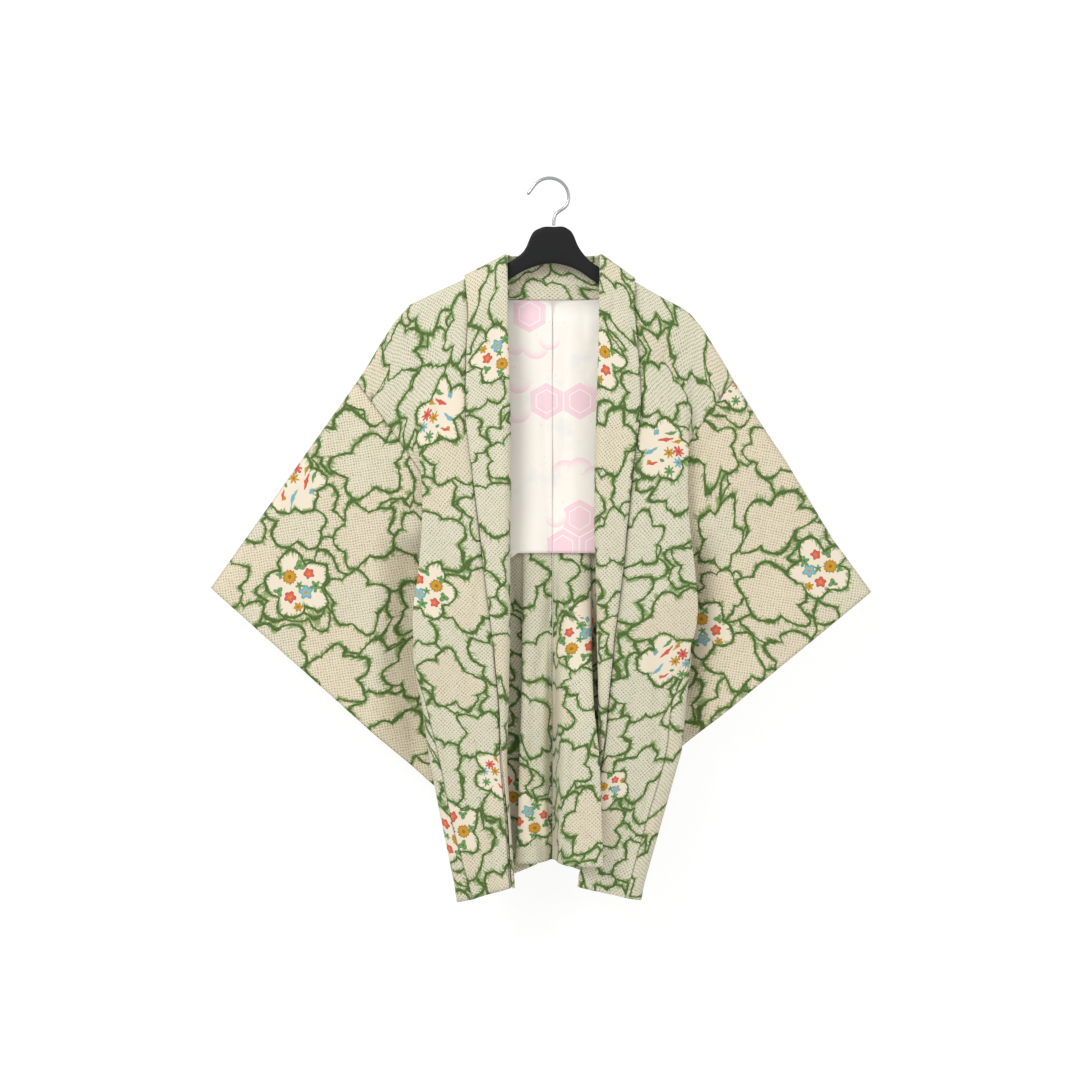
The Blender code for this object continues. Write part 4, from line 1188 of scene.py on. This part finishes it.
@node_group("Color Height Green", Vector=NONE, Bouquet=NONE, Warmth=0.5, Seam=1.0)
def tied_silk(vector, bouquet, warmth, seam):
    """The print's colour, with painted shade along sewn edges, how far it stands up, and where its
    green lines are.
    """
    line, core, tint = 0.0, 0.0, 0.5
    bent = noise(vector, 5.0, 1.0, output=1) * (0.09, 0.09, 0.0) + vector
    for turn, shift in STAR_LAYERS:
        line, core, tint = star_layer(bent, STAR_CELL, turn, shift, line, core, tint)
    x, y, seed = split(bouquet)
    here = above(seed, 0.0)
    inside, own_line, own_core = tied_star(xyz(x, y), seed)
    inside = inside * here
    keep = 1.0 - inside
    line = either(line * keep, own_line * here)
    core = either(core * keep, own_core * here)

    grid = turned(vector * (1 / DOT_PITCH), math.pi / 4)
    grid = noise(vector, 130.0, 1.0, output=1) * (1.0, 1.0, 0.0) + grid
    away = length(fraction(grid) - (0.5, 0.5, 0.0))
    fade = noise(maths("FLOOR", grid), 0.37, 1.0)
    dot = ramp(away, 0.48, 0.06) * (fade * 1.1 + 0.25)

    warm = above(warmth * 0.9 + tint, 1.0)
    soft = noise(vector, 14.0, 3.0)
    cream = mix(ramp(warmth, 0.3, 0.9), mix(soft, srgb(227, 223, 199), srgb(217, 212, 186)),
                mix(soft, srgb(233, 224, 199), srgb(223, 214, 186)))
    cream = mix(ramp(tint, 0.55, 1.0) * 0.4, cream, srgb(216, 210, 190))
    cream = mix(warm * 0.3, cream, srgb(234, 218, 186))
    ground = mix(dot * 0.70, cream, mix(warm, srgb(92, 98, 74), srgb(120, 92, 66)))
    ground = mix(inside, ground, star_filling(xyz(x, y), above(seed, 0.5)))
    hair = noise(vector, 420.0, 2.0)
    leafy = mix(hair, srgb(140, 166, 94), srgb(96, 132, 62))
    deep = mix(hair, srgb(84, 114, 46), srgb(50, 78, 26))
    colour = mix(line * 0.85, ground, leafy)
    colour = mix(core * (hair * 0.5 + 0.66), colour, deep)
    # painted shade: the silk darkens towards brown within 1.8 mm of a sewn edge, where the seam
    # sinks in
    colour = mix(ramp(seam, 0.0018, 0.0) * 0.42, colour, srgb(96, 90, 64))
    raised = ramp(away, 0.5, 0.16) * keep + ramp(seam, 0.0, 0.003) * 1.2
    return colour, hair * 0.25 + raised, line


# %% [markdown]
# ## Flower stars where they fell
#
# Where each flower star lies is a row of a small table: its panel, its place on the hanging
# jacket, its size and its turn. The nearest one's own coordinates are written on the cloth as
# an attribute, with one star radius as the unit, so that the shader only ever draws one of them.

# %% Place the flower stars
# (out, down, radius, turn, 1 for leaves or 0 for flowers); a radius below 0 is on the wall side
BOUQUETS = {
    "body_right": ((142, 306, 42, 0.4, 1), (158, 534, 42, 2.0, 0), (138, 846, 42, 2.6, 0),
                   (64, 770, 36, 0.8, 1), (70, 330, -42, 1.0, 0), (120, 600, -42, 3.0, 1),
                   (60, 800, -42, 2.0, 0), (24, 832, 42, 1.2, 0)),
    "gusset_right": ((131, 850, 42, 2.6, 0),),
    "body_left": ((146, 352, 44, 0.2, 1), (154, 624, 44, 0.6, 1), (38, 600, 42, 1.5, 0),
                  (77, 789, 29, 2.2, 0), (120, 340, -42, 2.2, 0), (60, 560, -42, 0.7, 1),
                  (140, 780, -42, 4.0, 0)),
    "gusset_left": (),
    "sleeve_right": ((325, 527, 47, 1.0, 0), (328, 397, 44, 2.6, 1), (300, 500, -44, 0.3, 1),
                     (180, 640, -44, 1.9, 0)),
    "sleeve_left": ((352, 508, 44, 0.5, 0), (226, 250, 40, 1.0, 1), (199, 586, 42, 2.0, 0),
                    (320, 500, -44, 1.3, 1), (150, 600, -44, 2.8, 0)),
    "collar": ((64, 228, 40, 1.1, 0), (-64, 237, 40, 0.2, 0), (68, 761, 42, 0.8, 1)),
}
STAR_REACH = 1.3                # where a star's outline ends, in radii
NO_STAR = -30.0                 # the seed where no flower star is near


def read(owner, key, width, kind=float):
    """A property of all the items of owner, as an array with one row for each."""
    values = np.empty(len(owner) * width, kind)
    owner.foreach_get(key, values)
    return values.reshape(-1, width)


def add_bouquets(ob, side, rows):
    """Writes (x, y, seed) for the nearest flower star: the flat offset from its centre, turned
    and divided by its radius, and a seed below 0.5 for flowers or above for leaves. Farther off
    than STAR_REACH the seed is NO_STAR."""
    mesh = ob.data
    count = len(mesh.vertices)
    co = read(mesh.vertices, "co", 3) / MM
    flat = np.empty((count, 2))
    flat[read(mesh.loops, "vertex_index", 1, int)[:, 0]] = read(
        mesh.uv_layers["cloth"].data, "uv", 2)
    best = np.full(count, np.inf)
    value = np.full((count, 3), 9.0)
    for out, down, radius, turn, kind in rows:
        away = np.hypot(co[:, 0] - out * SIDES[side], co[:, 2] + down)
        away += 0.3 * np.sign(radius) * co[:, 1]
        d = (flat - flat[np.argmin(away)]) / (abs(radius) * MM)
        far = np.hypot(*d.T)
        c, s = math.cos(turn), math.sin(turn)
        seed = 0.5 * kind + 0.05 + 0.4 * ((out * 0.37 + turn) % 1)
        near = far < best
        value[near] = np.column_stack([d @ [[c, s], [-s, c]], np.full(count, seed)])[near]
        best = np.where(near, far, best)
    value[best > STAR_REACH, 2] = NO_STAR
    attribute = mesh.attributes.new("bouquet", "FLOAT_VECTOR", "POINT")
    attribute.data.foreach_set("vector", value.reshape(-1).astype(np.float32))


PANELS = {f"{part}_{side}": pieces[side] for side in SIDES
          for part, pieces in (("body", BODY), ("sleeve", SLEEVE), ("gusset", GUSSET))}
PANELS["collar"] = COLLAR
for key, rows in BOUQUETS.items():
    add_bouquets(PANELS[key], "left" if "left" in key else "right", rows)
print("flower stars:", sum(len(v) for v in BOUQUETS.values()))

# %% [markdown]
# ## The cloth's materials
#
# Every panel was cut from the same roll, so all share one print group. Each material shifts the
# pattern to its own stretch of the roll and sets how brown its dots are. The silk is matt: a
# rough base with a little sheen for the fine hairs of crepe.

# %% Materials of the printed panels
def new_material(name, build, *values):
    """A Principled material. build(*values) returns its inputs, with _ for each space."""
    m = bpy.data.materials.new(name)
    m.use_nodes = True
    TREES.append(m.node_tree)
    shader = m.node_tree.nodes["Principled BSDF"]
    for key, value in build(*values).items():
        plug(shader.inputs[key.replace("_", " ")], value)
    TREES.pop()
    return m


def attribute(name, output):
    """A value that each point of the mesh carries: output 1 is a vector and 2 a number."""
    return node("Attribute", attribute_name=name, output=output)


def printed_silk(shift, warmth):
    """The dyed silk of one panel, from its place on the roll and its dots' warmth."""
    colour, height, green = tied_silk(node("UVMap", uv_map="cloth") + shift,
                                      attribute("bouquet", 1), warmth, attribute("seam", 2))
    return dict(Base_Color=colour, Normal=bump(height, 0.3, 0.0004),
                Roughness=green * -0.08 + 0.82, Sheen_Weight=0.12, Sheen_Roughness=0.5,
                Specular_IOR_Level=0.25)


# For each panel: (shift along the roll in metres, warmth of its dots)
SILKS = {"body_right": ((0.00, 0.00, 0), 0.42), "body_left": ((1.37, 0.61, 0), 0.40),
         "sleeve_right": ((2.11, 1.73, 0), 0.80), "sleeve_left": ((3.49, 2.27, 0), 0.80),
         "gusset_right": ((4.03, 0.35, 0), 0.45), "gusset_left": ((4.71, 1.19, 0), 0.45),
         "collar": ((5.57, 0.83, 0), 0.45)}
for key, values in SILKS.items():
    PANELS[key].data.materials.append(new_material(f"tied_silk_{key}", printed_silk, *values))
print("silks:", len(SILKS))

# %% [markdown]
# ## The lining's silk
#
# The lining is ivory silk with a soft pink print: patches of tortoiseshell hexagons, each with a
# smaller hexagon inside, and scalloped clouds that are pink along one side and fade away. A
# hexagon's distance is the largest of three widths, measured along directions 60 degrees apart.
# A patch takes in every hexagon whose middle lies in it, so it ends along the hexagons' sides.

# %% Group: hexagons and clouds
HEX_PITCH = 0.044               # across the flats of one hexagon
# Where the lining's print shows, in metres from the centre seam and down from the origin:
# patches of hexagons (x, down, half width, half height), and the clouds' discs (x, down,
# radius, side), pink towards their lower edge where side is 1 and their upper where it is -1
HEX_PATCHES = ((-0.030, 0.175, 0.010, 0.010), (0.014, 0.289, 0.030, 0.010),
               (0.036, 0.460, 0.026, 0.030))
CLOUD_DISCS = ((-0.050, 0.212, 0.017, 1), (-0.022, 0.216, 0.018, 1), (-0.004, 0.208, 0.014, 1),
               (-0.045, 0.262, 0.017, 1), (-0.046, 0.300, 0.018, 1), (0.058, 0.262, 0.017, 1),
               (0.016, 0.384, 0.018, -1), (0.036, 0.380, 0.017, -1), (0.054, 0.388, 0.014, -1),
               (0.004, 0.440, 0.014, 1))


def hexagon(at, shift):
    """Distance from the middle of the cell around at, and the middle, for one of the two
    staggered lattices of hexagons."""
    root3 = math.sqrt(3)
    cell = (1.0, root3, 1.0)
    p = (at + (0.008, 0.0155, 0)) * (1 / HEX_PITCH)
    q = (fraction((p + shift) / cell) - (0.5, 0.5, 0.0)) * cell
    x, y, _ = split(abs(q))
    return either(x, y * (root3 / 2) + x * 0.5), q * (-HEX_PITCH, -HEX_PITCH, 0.0) + at


@node_group("Color Height", Vector=NONE, Seam=1.0)
def lining_print(at, seam):
    """The lining's colour, with painted shade along its sewn edges, and the height of its weave, at
    a place in metres.
    """
    far, middle = hexagon(at, NONE)
    other, its_middle = hexagon(at, (0.5, math.sqrt(3) / 2, 0))
    nearer = maths("LESS_THAN", other, far)
    middle = (its_middle - middle) * xyz(nearer, nearer) + middle
    far = maths("MINIMUM", far, other)
    white_line = either(ramp(far, 0.472, 0.484),
                        ramp(far, 0.285, 0.297) * ramp(far, 0.327, 0.315))
    patch = 0.0
    for x, down, half_width, half_height in HEX_PATCHES:
        x, y, _ = split(abs((middle - (x, down, 0)) / (half_width, half_height, 1.0)))
        patch = either(patch, maths("LESS_THAN", either(x, y), 1.0))
    glow, cover = 0.0, 0.0
    for x, down, radius, side in CLOUD_DISCS:
        v = at - (x, down, 0)
        away = length(v)
        inside = ramp(away, radius + 0.0006, radius - 0.0006)
        edge = (ramp(away, 0.3 * radius, radius)
                * ramp(split(v)[1] * side, -0.3 * radius, 0.9 * radius))
        glow = (edge - glow) * inside + glow
        cover = either(cover, inside)
    soft = noise(at, 20.0, 2.0)
    ivory = mix(soft, srgb(255, 251, 243), srgb(253, 245, 234))
    smudge = ramp(noise(at, 24.0, 3.0), 0.54, 0.7)
    ivory = mix(smudge * 0.4, ivory, srgb(228, 235, 235))
    fleck = ramp(noise(at, 170.0, 1.0), 0.68, 0.76)
    ivory = mix(fleck * 0.6, ivory, srgb(252, 222, 224))
    pink = mix(soft, srgb(254, 220, 228), srgb(253, 208, 220))
    hexagons = mix(white_line, pink, srgb(255, 248, 246))
    colour = mix(patch * 0.9 * (1.0 - cover), ivory, hexagons)
    colour = mix(glow * 0.8, colour, pink)
    # painted shade: the lining darkens within 1.3 mm of its centre and neck seams
    colour = mix(ramp(seam, 0.0013, 0.0) * 0.35, colour, srgb(170, 150, 140))
    return colour, noise(at * (900.0, 2600.0, 1.0), 1.0, 1.0)


def lining_silk(sign):
    """The lining's silk, with x outwards from the centre seam: sign is -1 on the right."""
    place = node("UVMap", uv_map="cloth") * (sign, 1.0, 1.0) + (0.0, HEIGHT_NECK * MM, 0.0)
    colour, height = lining_print(place, attribute("seam", 2))
    return dict(Base_Color=colour, Normal=bump(height, 0.15, 0.0002), Roughness=0.5,
                Sheen_Weight=0.1)


for side, sign in SIDES.items():
    silk = new_material(f"lining_silk_{side}", lining_silk, sign)
    LINING[side].data.materials.append(silk)
    SLEEVE[side].data.materials.append(silk)
    SLEEVE[side].modifiers["wall"].material_offset = 1      # the inside takes the second one
    print(silk.name, "on", LINING[side].name, "and inside", SLEEVE[side].name)

# %% [markdown]
# ## The hanger
#
# The hanger is one flat moulding of black plastic, high in the middle and thin at the arms. Each
# section across it is a rounded rectangle between its upper and its lower outline. The hook is a
# plated wire that turns on a boss in the moulding.

# %% The moulded arms
HANGER_UPPER = ((-171.5, -172), (-160, -163), (-108, -136), (-54, -108.5), (-44, -102),
                (-31, -89), (-23, -71), (-12, -63), (5.5, -61.4), (22, -63), (30, -70),
                (37, -86), (46, -99), (58, -110), (66, -114.5), (110, -142), (162, -173),
                (173.5, -182))
HANGER_LOWER = ((-171.5, -176), (-163, -181.5), (-108, -156), (-54, -130), (-28, -116),
                (3, -109), (35, -117), (62, -135), (110, -161), (167, -191), (173.5, -186))
HANGER_HALF = 4.3               # half of the moulding's thickness
SQUARENESS = 0.35


def circle(n):
    """The cosines and sines of n even steps round a circle."""
    a = np.linspace(0, 2 * math.pi, n, endpoint=False)
    return np.cos(a), np.sin(a)


def sections_piece(name, node, rings):
    """A closed skin over rings of points in mm: each ring is joined to the next, and both ends
    are drawn in to their middles."""
    count, n = rings.shape[:2]
    points = np.concatenate([rings.reshape(-1, 3), rings[[0, -1]].mean(1)])
    k, turn = np.arange(n), np.roll(np.arange(n), -1)
    a = np.arange(count - 1)[:, None] * n
    faces = np.stack([a + k, a + turn, a + turn + n, a + k + n], -1).reshape(-1, 4).tolist()
    last = (count - 1) * n
    faces += np.stack([turn, k, np.full(n, count * n)], 1).tolist()
    faces += np.stack([last + k, last + turn, np.full(n, count * n + 1)], 1).tolist()
    return new_piece(name, node, points * MM, faces)


def hanger_rings():
    """Sections at x: z = middle + half height * sin^e and y = half width * cos^e, with
    e = SQUARENESS for corners that are nearly square."""
    x = np.unique(np.concatenate([np.linspace(-171.5, 173.5, 120), np.linspace(-40, 45, 70)]))
    up, low = (smooth(table, x) for table in (HANGER_UPPER, HANGER_LOWER))
    c, s = (np.sign(f) * np.abs(f) ** SQUARENESS for f in circle(48))
    ends = np.sqrt(np.clip(np.minimum(x - x[0], x[-1] - x) / 4, 0.02, 1))[:, None]
    return np.stack([x[:, None] + 0 * c, HANGER_HALF * np.sqrt(ends) * c,
                     0.5 * (up + low) + 0.5 * (up - low) * s], -1)


HANGER = sections_piece("hanger_moulding", "hanger_body", hanger_rings())

# %% The hook's wire
WIRE_R = 2.2
HOOK_R = 25.2


def tube(path, radius, n=20):
    """A round wire: a circle carried along the path in the XZ plane, square to it."""
    side = np.array([0.0, 1.0, 0.0])
    up = np.cross(unit(np.gradient(path, axis=0)), side)
    c, s = (f[:, None] for f in circle(n))
    return path[:, None] + radius[:, None, None] * (c * side + s * up[:, None])


def hook_rings():
    """The wire's path: its tip, a round bend and a tail into the boss, evened out in 180 steps
    and then smoothed by the mean (1, 2, 1) / 4 of neighbours, 30 times."""
    a = np.radians(np.linspace(150, -12, 90))
    bend = np.stack([HOOK_R * np.cos(a), 0 * a, HOOK_R * np.sin(a) - 23], 1)
    tail = spline([bend[-1], (23.2, 0, -34), (15.5, 0, -39.4), (8.4, 0, -43.6), (5.6, 0, -50),
                   (5.5, 0, -59.4)], np.linspace(0, 1, 60))
    tip = spline([(-28.6, 0, -19.6), (-26.6, 0, -16.6), (-24.4, 0, -14), bend[0]],
                 np.linspace(0, 1, 16))[:-1]
    path = np.concatenate([tip, bend, tail[1:]])
    run = run_lengths(path)
    even = np.linspace(0, run[-1], 180)
    path = np.stack([np.interp(even, run, path[:, k]) for k in range(3)], 1)
    for _ in range(30):
        path[1:-1] = 0.25 * path[:-2] + 0.5 * path[1:-1] + 0.25 * path[2:]
    return tube(path, WIRE_R * np.sqrt(np.clip((even + 0.1) / 1.6, 0.05, 1)))


HOOK = sections_piece("hook_wire", "hanger_hook", hook_rings())

# %% Plastic and plated steel
def plastic():
    """Black moulded plastic: the fine spark texture of its mould and faint scuffs."""
    at = node("TexCoord", output=3)
    scuff = noise(at * (30.0, 200.0, 140.0), 1.0, 3.0)
    return dict(Base_Color=mix(scuff, srgb(7, 8, 8), srgb(12, 13, 13)),
                Roughness=scuff * 0.2 + 0.42, Specular_IOR_Level=0.3,
                Normal=bump(noise(at, 900.0, 2.0), 0.2, 0.0001))


def steel():
    """Plated wire: bright, with faint marks along its length and dull spots where it hangs."""
    at = node("TexCoord", output=3)
    marks = noise(at, 350.0, 3.0)
    worn = ramp(split(at)[2], -0.012, 0.002)
    return dict(Base_Color=mix(marks, srgb(196, 197, 200), srgb(172, 173, 176)),
                Roughness=marks * 0.16 + (worn * 0.1 + 0.14), Metallic=1.0)


HANGER.data.materials.append(new_material("moulded_plastic", plastic))
HOOK.data.materials.append(new_material("plated_steel", steel))
print("finishes:", HANGER.data.materials[0].name, HOOK.data.materials[0].name)

# %% [markdown]
# ## The room, the light and the camera
#
# The jacket hangs flat against a white wall, lit softly from the upper left. The wall shows only
# from its front and casts nothing, so that the jacket's back can be seen from behind it.

# %% Wall and floor
WALL_Y = 0.085
FLOOR_Z = -1.35
ROOM = 6.0                      # half of the wall's width and of the floor's sides
CEILING_Z = 4.0


def paint(colour):
    """Plain paint, lit a little from within so that it stays even."""
    return dict(Base_Color=darker(colour, 0.3), Roughness=0.9, Specular_IOR_Level=0.0,
                Emission_Color=colour, Emission_Strength=0.82)


def backdrop(name, corners, paint_name, colour):
    """One painted face that only the camera sees, and only from its front."""
    m = new_material(paint_name, paint, colour)
    TREES.append(m.node_tree)
    nodes = m.node_tree.nodes
    seen = node("LightPath") * (1.0 - node("NewGeometry", output=6))
    pick = node("MixShader", seen, node("BsdfTransparent"),
                Wire(nodes["Principled BSDF"].outputs[0]))
    plug(nodes["Material Output"].inputs["Surface"], pick)
    TREES.pop()
    mesh = bpy.data.meshes.new(name)
    mesh.from_pydata(corners, [], [(0, 1, 2, 3)])
    mesh.materials.append(m)
    ob = bpy.data.objects.new(name, mesh)
    bpy.context.scene.collection.objects.link(ob)
    print(name, "in", paint_name)


backdrop("backdrop_wall", [(-ROOM, WALL_Y, FLOOR_Z), (ROOM, WALL_Y, FLOOR_Z),
                           (ROOM, WALL_Y, CEILING_Z), (-ROOM, WALL_Y, CEILING_Z)],
         "wall_paint", srgb(250, 250, 250))
backdrop("pale_floor", [(-ROOM, -ROOM, FLOOR_Z), (ROOM, -ROOM, FLOOR_Z), (ROOM, ROOM, FLOOR_Z),
                        (-ROOM, ROOM, FLOOR_Z)], "floor_paint", srgb(244, 243, 241))

# %% Light
scene = bpy.context.scene
scene.view_settings.view_transform = "Standard"
world = bpy.data.worlds.new("soft_room")
scene.world = world
world.use_nodes = True
TREES.append(world.node_tree)
sky = world.node_tree.nodes["Background"]
plug(sky.inputs["Color"], (1.0, 1.0, 1.0, 1.0))
plug(sky.inputs["Strength"], node("LightPath") * 0.28 + 0.72)
TREES.pop()
# (name, place, target, size in metres, watts)
LIGHTS = (("window", (-1.6, -2.4, 1.3), (0, 0, -0.45), 1.3, 46),
          ("room_fill", (2.2, -2.4, 0.2), (0, 0, -0.5), 1.8, 12),
          ("behind_fill", (0.8, 2.6, 0.6), (0, 0, -0.5), 1.8, 26))
for name, place, target, size, watts in LIGHTS:
    light = bpy.data.lights.new(name, "AREA")
    light.shape = "SQUARE"
    light.size = size
    light.energy = watts
    lamp = bpy.data.objects.new(name, light)
    lamp.location = place
    lamp.rotation_euler = (Vector(target) - Vector(place)).to_track_quat("-Z", "Y").to_euler()
    scene.collection.objects.link(lamp)
print("lights:", ", ".join(row[0] for row in LIGHTS))

# %% Camera
FRAME_LONG = 1.413              # what the view's long side covers at the jacket, in metres
CAMERA_FAR = 3.5
SENSOR = 36.0                   # in mm
camera = bpy.data.objects.new("camera", bpy.data.cameras.new("camera"))
camera.data.sensor_width = SENSOR
camera.data.lens = SENSOR * CAMERA_FAR / FRAME_LONG
camera.location = (-0.0124, -CAMERA_FAR, -0.473)
camera.rotation_euler = (math.pi / 2, 0, 0)
scene.collection.objects.link(camera)
scene.camera = camera
print("lens: %.1f mm" % camera.data.lens)

# %% [markdown]
# ## What each sheet was cut from
#
# The flat sizes are those that each length was cut to, and for the lining the part of it that
# shows. Less cloth than that is built here for the body, the sleeves and the gussets, so the
# area is measured on each piece's own mesh. It tells how much of a length is built. It is no
# test of whether the cloth was stretched, because it compares the mesh with itself: that would
# take an area worked out from a paper pattern.

SHEETS = {"body": ((0.31, 1.62), "hanger_moulding"), "sleeve": ((0.33, 0.98), "cloth_body_"),
          "gusset": ((0.07, 0.44), "cloth_body_"), "collar": ((0.115, 2.00), "cloth_body_right"),
          "lining": ((0.072, 0.33), "cloth_collar")}
for part, pieces in (("body", BODY), ("sleeve", SLEEVE), ("gusset", GUSSET),
                     ("collar", {"right": COLLAR}), ("lining", LINING)):
    flat, carrier = SHEETS[part]
    for side, ob in pieces.items():
        area = float(read(ob.data.polygons, "area", 1).sum())
        print(ob.name, "shows %.3f m2 of %.3f m2" % (area, flat[0] * flat[1]))
        carrier + side if carrier.endswith("_") else carrier
